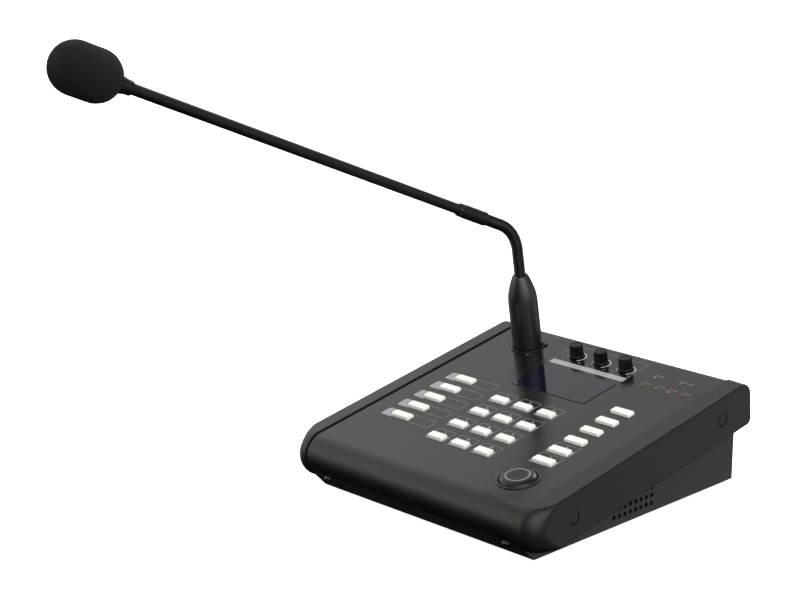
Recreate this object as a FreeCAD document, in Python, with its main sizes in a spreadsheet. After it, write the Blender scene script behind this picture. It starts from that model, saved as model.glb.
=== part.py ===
# Network desk microphone: a wedge-shaped paging console with a gooseneck microphone.
# Units are millimetres.  +X is to the user's right, +Y is to the back, +Z is up.
# The origin lies on the desk, at the centre of the four rubber feet.
#
# Two frames are used.  The base frame is the one above.  The panel frame lies in the sloping
# control panel: its origin is in the middle of the panel's rear edge, x runs to the right,
# y runs up the slope to the back and z stands square to the panel.

import FreeCAD, Part
import os, math
import Sketcher
from FreeCAD import Vector, Placement, Rotation

os.makedirs("parts", exist_ok=True)
doc = FreeCAD.newDocument("desk_microphone")
sheet = doc.addObject("Spreadsheet::Sheet", "dims")
sheet.Label = "driving dimensions"


class Num:
    """A number that remembers the spreadsheet expression it comes from."""

    def __init__(self, value, text):
        self.v = float(value)
        self.t = text

    @staticmethod
    def of(a):
        return a if isinstance(a, Num) else Num(a, "%.6g" % a if a >= 0 else "(%.6g)" % a)

    def _op(self, other, sign, value):
        return Num(value, "(%s %s %s)" % (self.t, sign, Num.of(other).t))

    def __add__(self, o):
        return self._op(o, "+", self.v + Num.of(o).v)

    def __sub__(self, o):
        return self._op(o, "-", self.v - Num.of(o).v)

    def __mul__(self, o):
        return self._op(o, "*", self.v * Num.of(o).v)

    def __truediv__(self, o):
        return self._op(o, "/", self.v / Num.of(o).v)

    def __radd__(self, o):
        return Num.of(o) + self

    def __rsub__(self, o):
        return Num.of(o) - self

    def __rmul__(self, o):
        return Num.of(o) * self

    def __neg__(self):
        return Num(-self.v, "(-1 * %s)" % self.t)


rows = [0]


def dim(alias, value, note):
    rows[0] += 1
    n = rows[0]
    sheet.set("A%d" % n, note)
    sheet.set("B%d" % n, str(value))
    sheet.setAlias("B%d" % n, alias)
    return Num(value, "dims." + alias)


# ---------------------------------------------------------------- driving dimensions
width_all = dim("width_all", 200.0, "overall width across the side caps")
width_base = dim("width_base", 174.1, "width of the sheet-metal base and of the panel")
depth_base = dim("depth_base", 189.0, "depth of the base")
foot_tall = dim("foot_tall", 2.5, "height of the rubber feet")
foot_rad = dim("foot_rad", 6.0, "radius of the rubber feet")
slope_deg = dim("slope_deg", 10.06, "slope of the control panel")
panel_back = dim("panel_back", 179.6, "panel rear edge, behind the base's front edge")
panel_tall = dim("panel_tall", 67.15, "panel rear edge, above the base's underside")
skin = dim("skin", 1.5, "thickness of the top cover")
tray_skin = dim("tray_skin", 1.2, "thickness of the base's sheet metal")
nose_s = dim("nose_s", -186.8, "centre of the rounded front, along the slope")
nose_rad = dim("nose_rad", 13.6, "outer radius of the rounded front")
cap_wide = dim("cap_wide", 12.16, "width of a side cap")
cap_proud = dim("cap_proud", 0.7, "how far a side cap stands proud of the panel")
cap_edge = dim("cap_edge", 1.05, "edge rounding of the side caps")
cap_wall = dim("cap_wall", 2.5, "wall of the side caps")
rear_corner = dim("rear_corner", 7.6, "outer radius of the cover's rear bend")
vent_pitch = dim("vent_pitch", 5.08, "pitch of the side vents")
vent_rad = dim("vent_rad", 1.55, "radius of a side vent")
key_long = dim("key_long", 14.6, "length of a wide key")
key_short = dim("key_short", 11.8, "length of a keypad key")
key_deep = dim("key_deep", 6.1, "depth of every key")
key_tall = dim("key_tall", 1.9, "height of the keys above the panel")
key_travel = dim("key_travel", 0.8, "travel of the keys")
key_gap = dim("key_gap", 0.25, "gap round a key in its opening")
key_pitch = dim("key_pitch", 19.16, "pitch of the keypad")
row_pitch = dim("row_pitch", 14.65, "pitch of the side columns")
glass_wide = dim("glass_wide", 60.0, "width of the display window")
glass_deep = dim("glass_deep", 32.0, "depth of the display window")
talk_rad = dim("talk_rad", 11.6, "radius of the talk button")
talk_tall = dim("talk_tall", 2.6, "height of the talk button")
bezel_rad = dim("bezel_rad", 13.5, "outer radius of the talk bezel")
bezel_tall = dim("bezel_tall", 0.7, "height of the talk bezel")
knob_rad = dim("knob_rad", 4.35, "radius of a volume knob at its top")
knob_skirt = dim("knob_skirt", 5.0, "radius of a knob's skirt")
knob_tall = dim("knob_tall", 8.9, "top of a knob above the panel")
shaft_rad = dim("shaft_rad", 2.0, "radius of a volume shaft")
led_rad = dim("led_rad", 1.5, "radius of an indicator lens")
led_tall = dim("led_tall", 1.1, "height of an indicator above the panel")
board_drop = dim("board_drop", 9.2, "panel surface to the key board's upper face")
board_thick = dim("board_thick", 1.6, "thickness of the circuit boards")
plug_rad = dim("plug_rad", 9.65, "radius of the microphone plug")
plug_tall = dim("plug_tall", 51.6, "height of the microphone plug above the panel")
flex_rad = dim("flex_rad", 3.65, "radius of the gooseneck")
tube_rad = dim("tube_rad", 3.37, "radius of the rigid tube")
tube_bore = dim("tube_bore", 2.6, "bore radius of the rigid tube")
collar_rad = dim("collar_rad", 4.3, "radius of the tube's lower collar")
arm_turn = dim("arm_turn", 7.8, "turn of the arm to the left")
arm_bend = dim("arm_bend", 56.64, "bend of the gooseneck")
bend_rad = dim("bend_rad", 25.6, "bend radius of the gooseneck")
bend_start = dim("bend_start", 69.0, "start of the bend above the panel")
foam_rad = dim("foam_rad", 15.5, "radius of the foam windscreen")
foam_body = dim("foam_body", 13.4, "length of the windscreen's straight part")
doc.recompute()

TH = math.radians(slope_deg.v)
CT, ST = math.cos(TH), math.sin(TH)
HALF = depth_base.v / 2
YP = panel_back.v - HALF            # panel origin in the base frame
ZP = panel_tall.v + foot_tall.v
PANEL = Placement(Vector(0, YP, ZP), Rotation(Vector(1, 0, 0), slope_deg.v))
BASE = Placement()


def base_yz(s, n):
    """Panel frame (s, n) to base frame (y, z)."""
    return YP + s * CT - n * ST, ZP + s * ST + n * CT


def panel_sn(y, z):
    """Base frame (y, z) to panel frame (s, n)."""
    dy, dz = y - YP, z - ZP
    return dy * CT + dz * ST, -dy * ST + dz * CT


def at(x, s, n=0.0, turn=0.0):
    return PANEL.multiply(Placement(Vector(x, s, n), Rotation(Vector(0, 0, 1), turn)))


# ---------------------------------------------------------------- helpers
nodes = {}


def bind(obj, prop, num):
    num = Num.of(num)
    if "dims." in num.t:
        obj.setExpression(prop, num.t)
    else:
        setattr(obj, prop, num.v)


def keep(name, obj):
    obj.Label = name
    nodes[name] = obj
    return obj


def body(name, place=BASE, kept=True):
    b = doc.addObject("PartDesign::Body", name)
    b.Label = name
    b.Placement = place
    if kept:
        nodes[name] = b
    return b


def origin(b, role):
    return [f for f in b.Origin.OriginFeatures if f.Role == role][0]


def new_sketch(b, plane, name, offset=0.0):
    sk = b.newObject("Sketcher::SketchObject", name)
    sk.AttachmentSupport = [(origin(b, plane), "")]
    sk.MapMode = "FlatFace"
    sk.AttachmentOffset = Placement(Vector(0, 0, offset), Rotation())
    return sk


def pin_value(sk, kind, num, *where):
    i = sk.addConstraint(Sketcher.Constraint(kind, *where, num.v))
    if "dims." in num.t:
        sk.setExpression("Constraints[%d]" % i, num.t)


def polygon(sk, pts):
    """Closed polygon whose corners are held by dimensions from the sketch origin."""
    pts = [(Num.of(a), Num.of(b)) for a, b in pts]
    first = sk.GeometryCount
    n = len(pts)
    for i in range(n):
        a, b = pts[i], pts[(i + 1) % n]
        sk.addGeometry(Part.LineSegment(Vector(a[0].v, a[1].v, 0), Vector(b[0].v, b[1].v, 0)), False)
    for i in range(n):
        sk.addConstraint(Sketcher.Constraint("Coincident", first + i, 2, first + (i + 1) % n, 1))
    for i, (px, py) in enumerate(pts):
        for num, kind, axis in ((px, "DistanceX", -2), (py, "DistanceY", -1)):
            if abs(num.v) < 1e-9:
                sk.addConstraint(Sketcher.Constraint("PointOnObject", first + i, 1, axis))
            else:
                pin_value(sk, kind, num, -1, 1, first + i, 1)


def rectangle(sk, w, h, cx=0.0, cy=0.0):
    w, h, cx, cy = Num.of(w), Num.of(h), Num.of(cx), Num.of(cy)
    polygon(sk, [(cx - w / 2, cy - h / 2), (cx + w / 2, cy - h / 2), (cx + w / 2, cy + h / 2), (cx - w / 2, cy + h / 2)])


def circle(sk, r, cx=0.0, cy=0.0):
    r, cx, cy = Num.of(r), Num.of(cx), Num.of(cy)
    g = sk.addGeometry(Part.Circle(Vector(cx.v, cy.v, 0), Vector(0, 0, 1), r.v), False)
    for num, kind, axis in ((cx, "DistanceX", -2), (cy, "DistanceY", -1)):
        if abs(num.v) < 1e-9:
            sk.addConstraint(Sketcher.Constraint("PointOnObject", g, 3, axis))
        else:
            pin_value(sk, kind, num, -1, 1, g, 3)
    pin_value(sk, "Radius", r, g)


def fillet_path(pts):
    """Closed outline from corners (x, y, radius): a list of straight and arc edges."""
    n = len(pts)
    cut = []
    for i in range(n):
        p, a, b = pts[i], pts[i - 1], pts[(i + 1) % n]
        r = p[2]
        ax, ay = a[0] - p[0], a[1] - p[1]
        bx, by = b[0] - p[0], b[1] - p[1]
        la, lb = math.hypot(ax, ay), math.hypot(bx, by)
        ax, ay, bx, by = ax / la, ay / la, bx / lb, by / lb
        if r <= 0:
            cut.append(((p[0], p[1]), (p[0], p[1]), None))
            continue
        half = math.acos(max(-1, min(1, ax * bx + ay * by))) / 2
        t = r / math.tan(half)
        mx, my = ax + bx, ay + by
        lm = math.hypot(mx, my)
        c = (p[0] + mx / lm * r / math.sin(half), p[1] + my / lm * r / math.sin(half))
        d = math.hypot(p[0] - c[0], p[1] - c[1])
        mid = (c[0] + (p[0] - c[0]) / d * r, c[1] + (p[1] - c[1]) / d * r)
        cut.append(((p[0] + ax * t, p[1] + ay * t), (p[0] + bx * t, p[1] + by * t), mid))
    out = []
    for i in range(n):
        a, b, mid = cut[i]
        if mid is not None:
            out.append(("arc", a, mid, b))
        c = cut[(i + 1) % n][0]
        if math.hypot(c[0] - b[0], c[1] - b[1]) > 1e-6:
            out.append(("line", b, c))
    return out


def outline(sk, segments):
    """Draws a closed outline of lines and arcs and locks it where the sheet's sizes put it."""
    for seg in segments:
        if seg[0] == "line":
            g = sk.addGeometry(Part.LineSegment(Vector(*seg[1], 0), Vector(*seg[2], 0)), False)
        else:
            g = sk.addGeometry(Part.Arc(Vector(*seg[1], 0), Vector(*seg[2], 0), Vector(*seg[3], 0)), False)
        sk.addConstraint(Sketcher.Constraint("Block", g))


def pad(b, sk, length, name, both=False, back=False):
    p = b.newObject("PartDesign::Pad", name)
    p.Profile = sk
    bind(p, "Length", length)
    if both:
        p.SideType = "Symmetric"
    p.Reversed = back
    b.Tip = p
    return p


pockets = []


def pocket(b, sk, length, name, both=False, back=False):
    p = b.newObject("PartDesign::Pocket", name)
    pockets.append(p)
    p.Profile = sk
    bind(p, "Length", length)
    if both:
        p.SideType = "Symmetric"
    p.Reversed = back
    b.Tip = p
    return p


def turn_body(b, pts, name, groove=False):
    """Revolves a half section (radius, height) about the body's own Z axis."""
    sk = new_sketch(b, "XZ_Plane", name + "_section")
    polygon(sk, pts)
    r = b.newObject("PartDesign::Groove" if groove else "PartDesign::Revolution", name)
    r.Profile = sk
    r.ReferenceAxis = (origin(b, "Z_Axis"), [""])
    r.Angle = 360
    b.Tip = r
    return r


def turned(name, place, pts, round_at=()):
    b = body(name, place)
    turn_body(b, pts, name + "_turn")
    if round_at:
        soften(b, round_at)
    return b


def edges_where(shape, test):
    return ["Edge%d" % (i + 1) for i, e in enumerate(shape.Edges) if test(e)]


def soften(b, rounds, kind="PartDesign::Fillet"):
    """rounds: (radius, test on an edge of the shape in the body's own frame)"""
    for r, test in rounds:
        doc.recompute()
        tip = b.Tip
        names = edges_where(tip.Shape, test)
        f = b.newObject(kind, b.Name + "_edge")
        f.Base = (tip, names)
        if kind == "PartDesign::Fillet":
            bind(f, "Radius", r)
        else:
            bind(f, "Size", r)
        b.Tip = f


def box(name, lx, ly, lz, place):
    o = doc.addObject("Part::Box", name)
    bind(o, "Length", lx)
    bind(o, "Width", ly)
    bind(o, "Height", lz)
    o.Placement = place
    return o


def rod(name, r, h, place):
    o = doc.addObject("Part::Cylinder", name)
    bind(o, "Radius", r)
    bind(o, "Height", h)
    o.Placement = place
    return o


def fuse(name, parts):
    o = doc.addObject("Part::MultiFuse", name)
    o.Shapes = parts
    return o


def cut(name, base_obj, tool):
    o = doc.addObject("Part::Cut", name)
    o.Base = base_obj
    o.Tool = tool
    return o


def group(name, parts):
    o = doc.addObject("Part::Compound", name)
    o.Links = parts
    return keep(name, o)


# ---------------------------------------------------------------- layout on the panel (x, y in the panel frame)
MID = 0.3
rows_s = [-68.9 - row_pitch.v * i for i in range(6)]
keypad_s = [-94.3 - key_pitch.v * i for i in range(4)]
keypad_x = [MID + key_pitch.v * (i - 1) for i in range(3)]
left_x, right_x = -58.4, 58.9
keys = []
for i in range(5):
    keys.append(("zone_key_%d" % (i + 1), left_x, rows_s[i + 1], key_long))
digits = ["1", "2", "3", "4", "5", "6", "7", "8", "9", "star", "0", "hash"]
for i in range(12):
    keys.append(("digit_key_%s" % digits[i], keypad_x[i % 3], keypad_s[i // 3], key_short))
for i in range(6):
    keys.append(("function_key_%d" % (i + 1), right_x, rows_s[i], key_long))
TALK = (59.65, -166.1)
MIC = (-57.5, -23.7)
knobs = [("left", -18.1, -19.9), ("middle", 2.2, -19.9), ("right", 22.5, -19.9)]
leds = [(45.5, -32.0), (55.6, -32.0), (65.7, -32.0), (75.8, -32.0), (45.5, -19.8), (65.6, -19.8)]
GLASS = (MID, -55.5)
TAB = (-47.9, -15.9)                 # release tab of the microphone socket

# ---------------------------------------------------------------- profiles shared by cover, tray and caps
NC = (nose_s.v, -nose_rad.v)         # centre of the rounded front, panel frame
# the base's front face runs from the bottom front edge up to a tangent on the rounded front
fy, fz = -HALF, foot_tall.v
fs, fn = panel_sn(fy, fz)
dist = math.hypot(fs - NC[0], fn - NC[1])
reach = math.sqrt(dist ** 2 - nose_rad.v ** 2)
ang = math.atan2(fn - NC[1], fs - NC[0])
tang = ang - math.acos(nose_rad.v / dist)       # direction of the tangent point seen from the nose centre
MV = (math.cos(tang), math.sin(tang))           # outward normal of the front face
DV = (math.sin(tang) * -1, math.cos(tang))      # along the front face, towards the bottom edge
if DV[0] * (fs - NC[0]) + DV[1] * (fn - NC[1]) < 0:
    DV = (-DV[0], -DV[1])


def front(m, d):
    """Point m outward from the nose centre and d along the front face (panel frame)."""
    return NC[0] + MV[0] * m + DV[0] * d, NC[1] + MV[1] * m + DV[1] * d


def nose_point(r, deg):
    a = math.radians(deg)
    return NC[0] + r * math.cos(a), NC[1] + r * math.sin(a)


TANG_DEG = math.degrees(tang) % 360
# rear line of the cap, in the panel frame: a corner at the top and a lean forwards
REAR_S, REAR_LEAN = 6.77, 0.085


def rear_s(n, inset):
    return REAR_S - inset - REAR_LEAN * (cap_proud.v - n)


def ring_profile(inset, bottom, foot_rad_in):
    """Outline of a side cap, shrunk by inset: round front, rounded rear corners."""
    top = cap_proud.v - inset
    low = bottom + inset
    r = nose_rad.v + cap_proud.v - inset
    c1 = rear_corner.v + cap_proud.v - inset
    corners = fillet_path([
        (NC[0], top, 0), (rear_s(top, inset), top, c1), (rear_s(low, inset), low, foot_rad_in), (NC[0], low, 0)])
    segs = [s for s in corners if not (s[0] == "line" and abs(s[1][0] - NC[0]) < 1e-6 and abs(s[2][0] - NC[0]) < 1e-6)]
    tip = (NC[0] - r, NC[1])
    k = math.sqrt(0.5) * r
    segs.append(("arc", (NC[0], low), (NC[0] - k, NC[1] - k), tip))
    segs.append(("arc", tip, (NC[0] - k, NC[1] + k), (NC[0], top)))
    return segs


CAP_LOW = -2 * nose_rad.v - cap_proud.v          # underside of the caps

# ---------------------------------------------------------------- top cover
cover = body("top_cover", PANEL)
t = skin.v
Ro, Ri = nose_rad.v, nose_rad.v - skin.v
end_deg = TANG_DEG - 3.0
c_out = rear_corner.v
skirt = -22.0
rs = lambda n: REAR_S - cap_proud.v - REAR_LEAN * (cap_proud.v - n)
out_tan = fillet_path([(NC[0], 0, 0), (rs(0), 0, c_out), (rs(skirt), skirt, 0), (NC[0], skirt, 0)])
inn_tan = fillet_path([(NC[0], -t, 0), (rs(-t) - t, -t, c_out - t), (rs(skirt) - t, skirt, 0), (NC[0], skirt, 0)])
o_line, o_arc, o_rear = out_tan[0], out_tan[1], out_tan[2]
i_line, i_arc, i_rear = inn_tan[0], inn_tan[1], inn_tan[2]
lip_out, lip_in, lip_end = Ro - 1.3, Ro - 2.8, 13.6
pe = nose_point(Ro, end_deg)
m_e = Ro * math.cos(math.radians(TANG_DEG - end_deg))
d_e = -Ro * math.sin(math.radians(TANG_DEG - end_deg))
d_in = -math.sqrt(Ri ** 2 - lip_in ** 2)
deg_in = TANG_DEG - math.degrees(math.acos(lip_in / Ri))
segs = [
    ("arc", (NC[0], 0.0), nose_point(Ro, (90 + end_deg) / 2), pe),
    ("line", pe, front(lip_out, d_e)),
    ("line", front(lip_out, d_e), front(lip_out, lip_end)),
    ("line", front(lip_out, lip_end), front(lip_in, lip_end)),
    ("line", front(lip_in, lip_end), front(lip_in, d_in)),
    ("arc", front(lip_in, d_in), nose_point(Ri, (90 + deg_in) / 2), (NC[0], -t)),
    ("line", (NC[0], -t), i_line[2]),
    ("arc", i_arc[1], i_arc[2], i_arc[3]),
    ("line", i_rear[1], i_rear[2]),
    ("line", i_rear[2], o_rear[2]),
    ("line", o_rear[2], o_rear[1]),
    ("arc", o_arc[3], o_arc[2], o_arc[1]),
    ("line", o_line[2], (NC[0], 0.0)),
]
sk = new_sketch(cover, "YZ_Plane", "cover_section")
outline(sk, segs)
pad(cover, sk, width_base, "cover_bend", both=True)

# trims the front lip and the rear skirt clear of the base's side walls
sk = new_sketch(cover, "YZ_Plane", "lip_trim_right", 84.0)
lip_box = [front(lip_out + 0.9, 0.0), front(lip_out + 0.9, lip_end + 1), front(lip_in - 1.5, lip_end + 1), front(lip_in - 1.5, 0.0)]
outline(sk, fillet_path([(p[0], p[1], 0) for p in lip_box]))
pocket(cover, sk, 6.0, "lip_trim_right_cut", back=True)
sk = new_sketch(cover, "YZ_Plane", "lip_trim_left", -84.0)
outline(sk, fillet_path([(p[0], p[1], 0) for p in lip_box]))
pocket(cover, sk, 6.0, "lip_trim_left_cut")
skirt_box = [(0.0, -10.5), (9.0, -10.5), (9.0, skirt - 1), (0.0, skirt - 1)]
sk = new_sketch(cover, "YZ_Plane", "skirt_trim_right", 84.0)
outline(sk, fillet_path([(p[0], p[1], 0) for p in skirt_box]))
pocket(cover, sk, 6.0, "skirt_trim_right_cut", back=True)
sk = new_sketch(cover, "YZ_Plane", "skirt_trim_left", -84.0)
outline(sk, fillet_path([(p[0], p[1], 0) for p in skirt_box]))
pocket(cover, sk, 6.0, "skirt_trim_left_cut")

# openings for the keys, the window, the controls and the microphone socket
sk = new_sketch(cover, "XY_Plane", "key_openings")
for name, x, s, long in keys:
    rectangle(sk, long + 2 * key_gap, key_deep + 2 * key_gap, x, s)
pocket(cover, sk, 4.0, "key_openings_cut")
sk = new_sketch(cover, "XY_Plane", "control_openings")
rectangle(sk, glass_wide + 0.3, glass_deep + 0.3, GLASS[0], GLASS[1])
circle(sk, bezel_rad - 0.8, TALK[0], TALK[1])
circle(sk, plug_rad + 1.0, MIC[0], MIC[1])
for side, x, s in knobs:
    circle(sk, shaft_rad + 1.2, x, s)
for x, s in leds:
    circle(sk, led_rad + 0.1, x, s)
pocket(cover, sk, 4.0, "control_openings_cut")
sk = new_sketch(cover, "XY_Plane", "tab_opening")
rectangle(sk, 5.4, 5.4, TAB[0], TAB[1])
pocket(cover, sk, 4.0, "tab_opening_cut")

# screw holes in the lip and the skirt
SCREW_D = 3.0
screw_x = 74.2
front_screw = front(nose_rad.v, SCREW_D)
fy1, fz1 = base_yz(*front_screw)
ny, nz = MV[0] * CT - MV[1] * ST, MV[0] * ST + MV[1] * CT     # outward normal of the front face, base frame
front_axis = Vector(0, ny, nz)


def axis_place(point, axis, x):
    """Placement whose Z axis points along axis, at (x, y, z)."""
    rot = Rotation(Vector(0, 0, 1), axis)
    return Placement(Vector(x, point[0], point[1]), rot)


# ---------------------------------------------------------------- base tray
tray = body("bottom_chassis", BASE)
f0 = foot_tall.v
ts = tray_skin.v
WALL_TOP = 58.0 + 0.0
b_front = (-HALF, f0)
up_out = base_yz(*front(Ro, -0.4))
up_in = base_yz(*front(Ro - ts, -0.4))
inner_corner_d = (f0 + ts - base_yz(*front(Ro - ts, 0))[1]) / (DV[0] * ST + DV[1] * CT)
low_in = base_yz(*front(Ro - ts, inner_corner_d))
sk = new_sketch(tray, "YZ_Plane", "tray_section")
outline(sk, fillet_path([
    (b_front[0], b_front[1], 0), (HALF, f0, 0), (HALF, WALL_TOP, 0), (HALF - ts, WALL_TOP, 0),
    (HALF - ts, f0 + ts, 0), (low_in[0], low_in[1], 0), (up_in[0], up_in[1], 0), (up_out[0], up_out[1], 0)]))
pad(tray, sk, width_base, "tray_bend", both=True)
# the front flange and the rear wall stop short of the side walls at a bend relief
sk = new_sketch(tray, "YZ_Plane", "flange_relief_right", width_base.v / 2 - ts - 0.8)
relief = [base_yz(*front(Ro + 1.0, -1.5)), base_yz(*front(Ro + 1.0, reach - 2.2)), base_yz(*front(Ro - ts - 1, reach - 2.2)), base_yz(*front(Ro - ts - 1, -1.5))]
outline(sk, fillet_path([(p[0], p[1], 0) for p in relief]))
pocket(tray, sk, ts + 1.8, "flange_relief_right_cut", back=True)
sk = new_sketch(tray, "YZ_Plane", "flange_relief_left", -(width_base.v / 2 - ts - 0.8))
outline(sk, fillet_path([(p[0], p[1], 0) for p in relief]))
pocket(tray, sk, ts + 1.8, "flange_relief_left_cut")

# side walls follow the inside of the cover
g = skin.v + 0.3
top_n = -g
wall_corner = fillet_path([(NC[0], top_n, 0), (rs(top_n) - g, top_n, c_out - g), (rs(-13.0) - g, -13.0, 0), (NC[0], -13.0, 0)])
w_line, w_arc, w_rear = wall_corner[0], wall_corner[1], wall_corner[2]
wr = Ro - g
w_end_deg = TANG_DEG - math.degrees(math.acos((lip_in - 0.3) / wr))
wall = []
P = lambda p: base_yz(p[0], p[1])
wall.append(("line", b_front, (HALF, f0)))
wall.append(("line", (HALF, f0), (HALF, 46.0)))
rear_low = P(w_rear[2])
wall.append(("line", (HALF, 46.0), (rear_low[0], 46.0)))
wall.append(("line", (rear_low[0], 46.0), rear_low))
wall.append(("line", rear_low, P(w_arc[3])))
wall.append(("arc", P(w_arc[3]), P(w_arc[2]), P(w_arc[1])))
wall.append(("line", P(w_line[2]), P((NC[0], top_n))))
wn = nose_point(wr, w_end_deg)
step_in, step_out = front(lip_in - 0.3, 0.3), front(Ro, 0.3)
wall.append(("arc", P((NC[0], top_n)), P(nose_point(wr, (90 + w_end_deg) / 2)), P(wn)))
wall.append(("line", P(wn), P(step_in)))
wall.append(("line", P(step_in), P(step_out)))
wall.append(("line", P(step_out), b_front))
for side, off, back in (("right", width_base.v / 2 - ts, False), ("left", -width_base.v / 2, False)):
    sk = new_sketch(tray, "YZ_Plane", "side_wall_" + side, off)
    outline(sk, wall)
    pad(tray, sk, tray_skin, "side_wall_%s_pad" % side, back=back)

# side vents, three rows of eight in each wall
vent_y, vent_z = -22.8, 8.15
for side, off in (("right", width_base.v / 2 + 1), ("left", -width_base.v / 2 + ts + 1)):
    sk = new_sketch(tray, "YZ_Plane", "vents_" + side, off)
    for j in range(3):
        for i in range(8):
            circle(sk, vent_rad, vent_y + vent_pitch * i, vent_z + vent_pitch * j)
    pocket(tray, sk, ts + 2.0, "vents_%s_cut" % side)

# cap fixing holes through the side walls
cap_fix = [panel_sn(19.1 - HALF, 24.2 + f0), panel_sn(158.3 - HALF, 49.5 + f0)]
sk = new_sketch(tray, "YZ_Plane", "cap_fixings", 0)
for s, n in cap_fix:
    y, z = base_yz(s, n)
    circle(sk, 2.0, y, z)
pocket(tray, sk, width_base + 2, "cap_fixings_cut", both=True)

# network jack cut-out in the rear wall, seen from behind
JACK = (34.0, 13.0)                  # centre x and lower z of the jack
sk = new_sketch(tray, "XZ_Plane", "jack_opening", -(HALF + 1))
rectangle(sk, 16.4, 13.9, JACK[0], JACK[1] + 6.75)
pocket(tray, sk, ts + 2.0, "jack_opening_cut", back=True)
sk = new_sketch(tray, "XZ_Plane", "rear_fixings", -(HALF + 1))
REAR_Z = 51.5
for x in (-screw_x, screw_x):
    circle(sk, 1.65, x, REAR_Z)
pocket(tray, sk, ts + 2.0, "rear_fixings_cut", back=True)

# screws through the front flange and the rear wall hold the cover: holes are cut along each screw's axis
def screw_hole(b, name, place_y, place_z, axis_y, axis_z, r, depth):
    """Pocket along a direction in the YZ plane, sketched on a datum plane square to it."""
    for tag, x in (("right", screw_x), ("left", -screw_x)):
        sk = b.newObject("Sketcher::SketchObject", "%s_%s" % (name, tag))
        sk.AttachmentSupport = [(origin(b, "XY_Plane"), "")]
        sk.MapMode = "FlatFace"
        rot = Rotation(Vector(0, 0, 1), Vector(0, axis_y, axis_z))
        sk.AttachmentOffset = Placement(Vector(x, place_y, place_z), rot)
        circle(sk, r)
        pocket(b, sk, depth, "%s_%s_cut" % (name, tag))


out2 = (fy1 + ny * 0.5, fz1 + nz * 0.5)
screw_hole(tray, "front_fixing", out2[0], out2[1], ny, nz, 1.65, ts + 1.0)
pl = front(lip_out + 0.5, SCREW_D)
screw_hole(cover, "lip_fixing", pl[0], pl[1], MV[0], MV[1], 1.5, 3.0)
rear_s1, rear_n1 = panel_sn(HALF - ts + 0.1, REAR_Z)
screw_hole(cover, "skirt_fixing", rear_s1, rear_n1, CT, -ST, 1.5, 5.0)

# ---------------------------------------------------------------- side caps
cap_in = width_all.v / 2 - cap_wide.v
core = body("cap_core", PANEL, kept=False)
sk = new_sketch(core, "YZ_Plane", "cap_section", cap_in)
prof = ring_profile(0.0, CAP_LOW, 4.5)
# the long straight edges are split where the rounding starts to grow towards the front
split = []
GROW = NC[0] + 11.0
for s_ in prof:
    if s_[0] == "line" and (s_[1][0] - GROW) * (s_[2][0] - GROW) < 0 and abs(s_[1][1] - s_[2][1]) < 1e-6:
        mid_pt = (GROW, s_[1][1])
        split += [("line", s_[1], mid_pt), ("line", mid_pt, s_[2])]
    else:
        split.append(s_)
outline(sk, split)
pad(core, sk, cap_wide, "cap_pad").Refine = False        # keeps the split edges apart
doc.recompute()
xo = width_all.v / 2
nose_mid, nose_big = 7.0, 11.0


def fillet_table(shape, outer_x, place_inv):
    """(edge number, radius at its start, radius at its end) for the outer rim of the cap."""
    table = []

    def radius(p):
        s, n = p.y, p.z
        if s > GROW + 1e-6:
            return cap_edge.v
        if s >= NC[0] - 1e-6:
            return cap_edge.v + (nose_mid - cap_edge.v) * (GROW - s) / (GROW - NC[0])
        a = math.degrees(math.atan2(n - NC[1], s - NC[0])) % 360
        return nose_mid + (nose_big - nose_mid) * (1 - abs(a - 180) / 90)

    for i, e in enumerate(shape.Edges):
        pts = [place_inv.multVec(v.Point) for v in e.Vertexes]
        if len(pts) == 2 and all(abs(p.x - outer_x) < 1e-4 for p in pts):
            a = place_inv.multVec(e.valueAt(e.FirstParameter))
            b = place_inv.multVec(e.valueAt(e.LastParameter))
            table.append((i + 1, radius(b), radius(a)) if e.Orientation == "Reversed" else (i + 1, radius(a), radius(b)))
    return table


inv = PANEL.inverse()
rim = doc.addObject("Part::Fillet", "cap_rim")
rim.Base = core
rim.Edges = fillet_table(core.Shape, xo, inv)
doc.recompute()
inner = doc.addObject("Part::Fillet", "cap_inner_rim")
inner.Base = rim
tab = []
for i, e in enumerate(rim.Shape.Edges):
    pts = [inv.multVec(v.Point) for v in e.Vertexes]
    if len(pts) == 2 and all(abs(p.x - cap_in) < 1e-4 for p in pts):
        tab.append((i + 1, cap_edge.v * 0.8, cap_edge.v * 0.8))
inner.Edges = tab
doc.recompute()

# hollow behind the wall, with two bosses that carry the fixing screws
hollow = body("cap_hollow", PANEL, kept=False)
sk = new_sketch(hollow, "YZ_Plane", "hollow_section", cap_in - 1)
w = cap_wall.v
hs = NC[0] + 8.0
hl = fillet_path([(hs, cap_proud.v - w, 2.0), (rear_s(0, 0) - w - 1.0, cap_proud.v - w, 6.0), (rear_s(-20, 0) - w, CAP_LOW + w, 3.0), (hs, CAP_LOW + w, 2.0)])
outline(sk, hl)
for s, n in cap_fix:
    circle(sk, 6.0, s, n)
pad(hollow, sk, cap_wide - cap_wall + 1, "hollow_pad")
shell = cut("cap_shell", inner, hollow)
bosses, bores = [], []
wall_x = width_base.v / 2
for k, (s, n) in enumerate(cap_fix):
    rot = Rotation(Vector(0, 1, 0), 90)
    bosses.append(rod("cap_boss_%d" % k, 5.0, cap_in - wall_x + 4.0, PANEL.multiply(Placement(Vector(wall_x, s, n), rot))))
    bores.append(rod("cap_bore_%d" % k, 2.2, 20.0, PANEL.multiply(Placement(Vector(wall_x - 1, s, n), rot))))
    bores.append(rod("cap_recess_%d" % k, 4.65, 5.0, PANEL.multiply(Placement(Vector(xo - 1.8, s, n), rot))))
solid_cap = fuse("cap_with_bosses", [shell] + bosses)
right_cap = keep("right_side_cap", cut("right_side_cap", solid_cap, fuse("cap_bores", bores)))
left_cap = doc.addObject("Part::Mirroring", "left_side_cap")
left_cap.Source = right_cap
left_cap.Normal = Vector(1, 0, 0)
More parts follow.
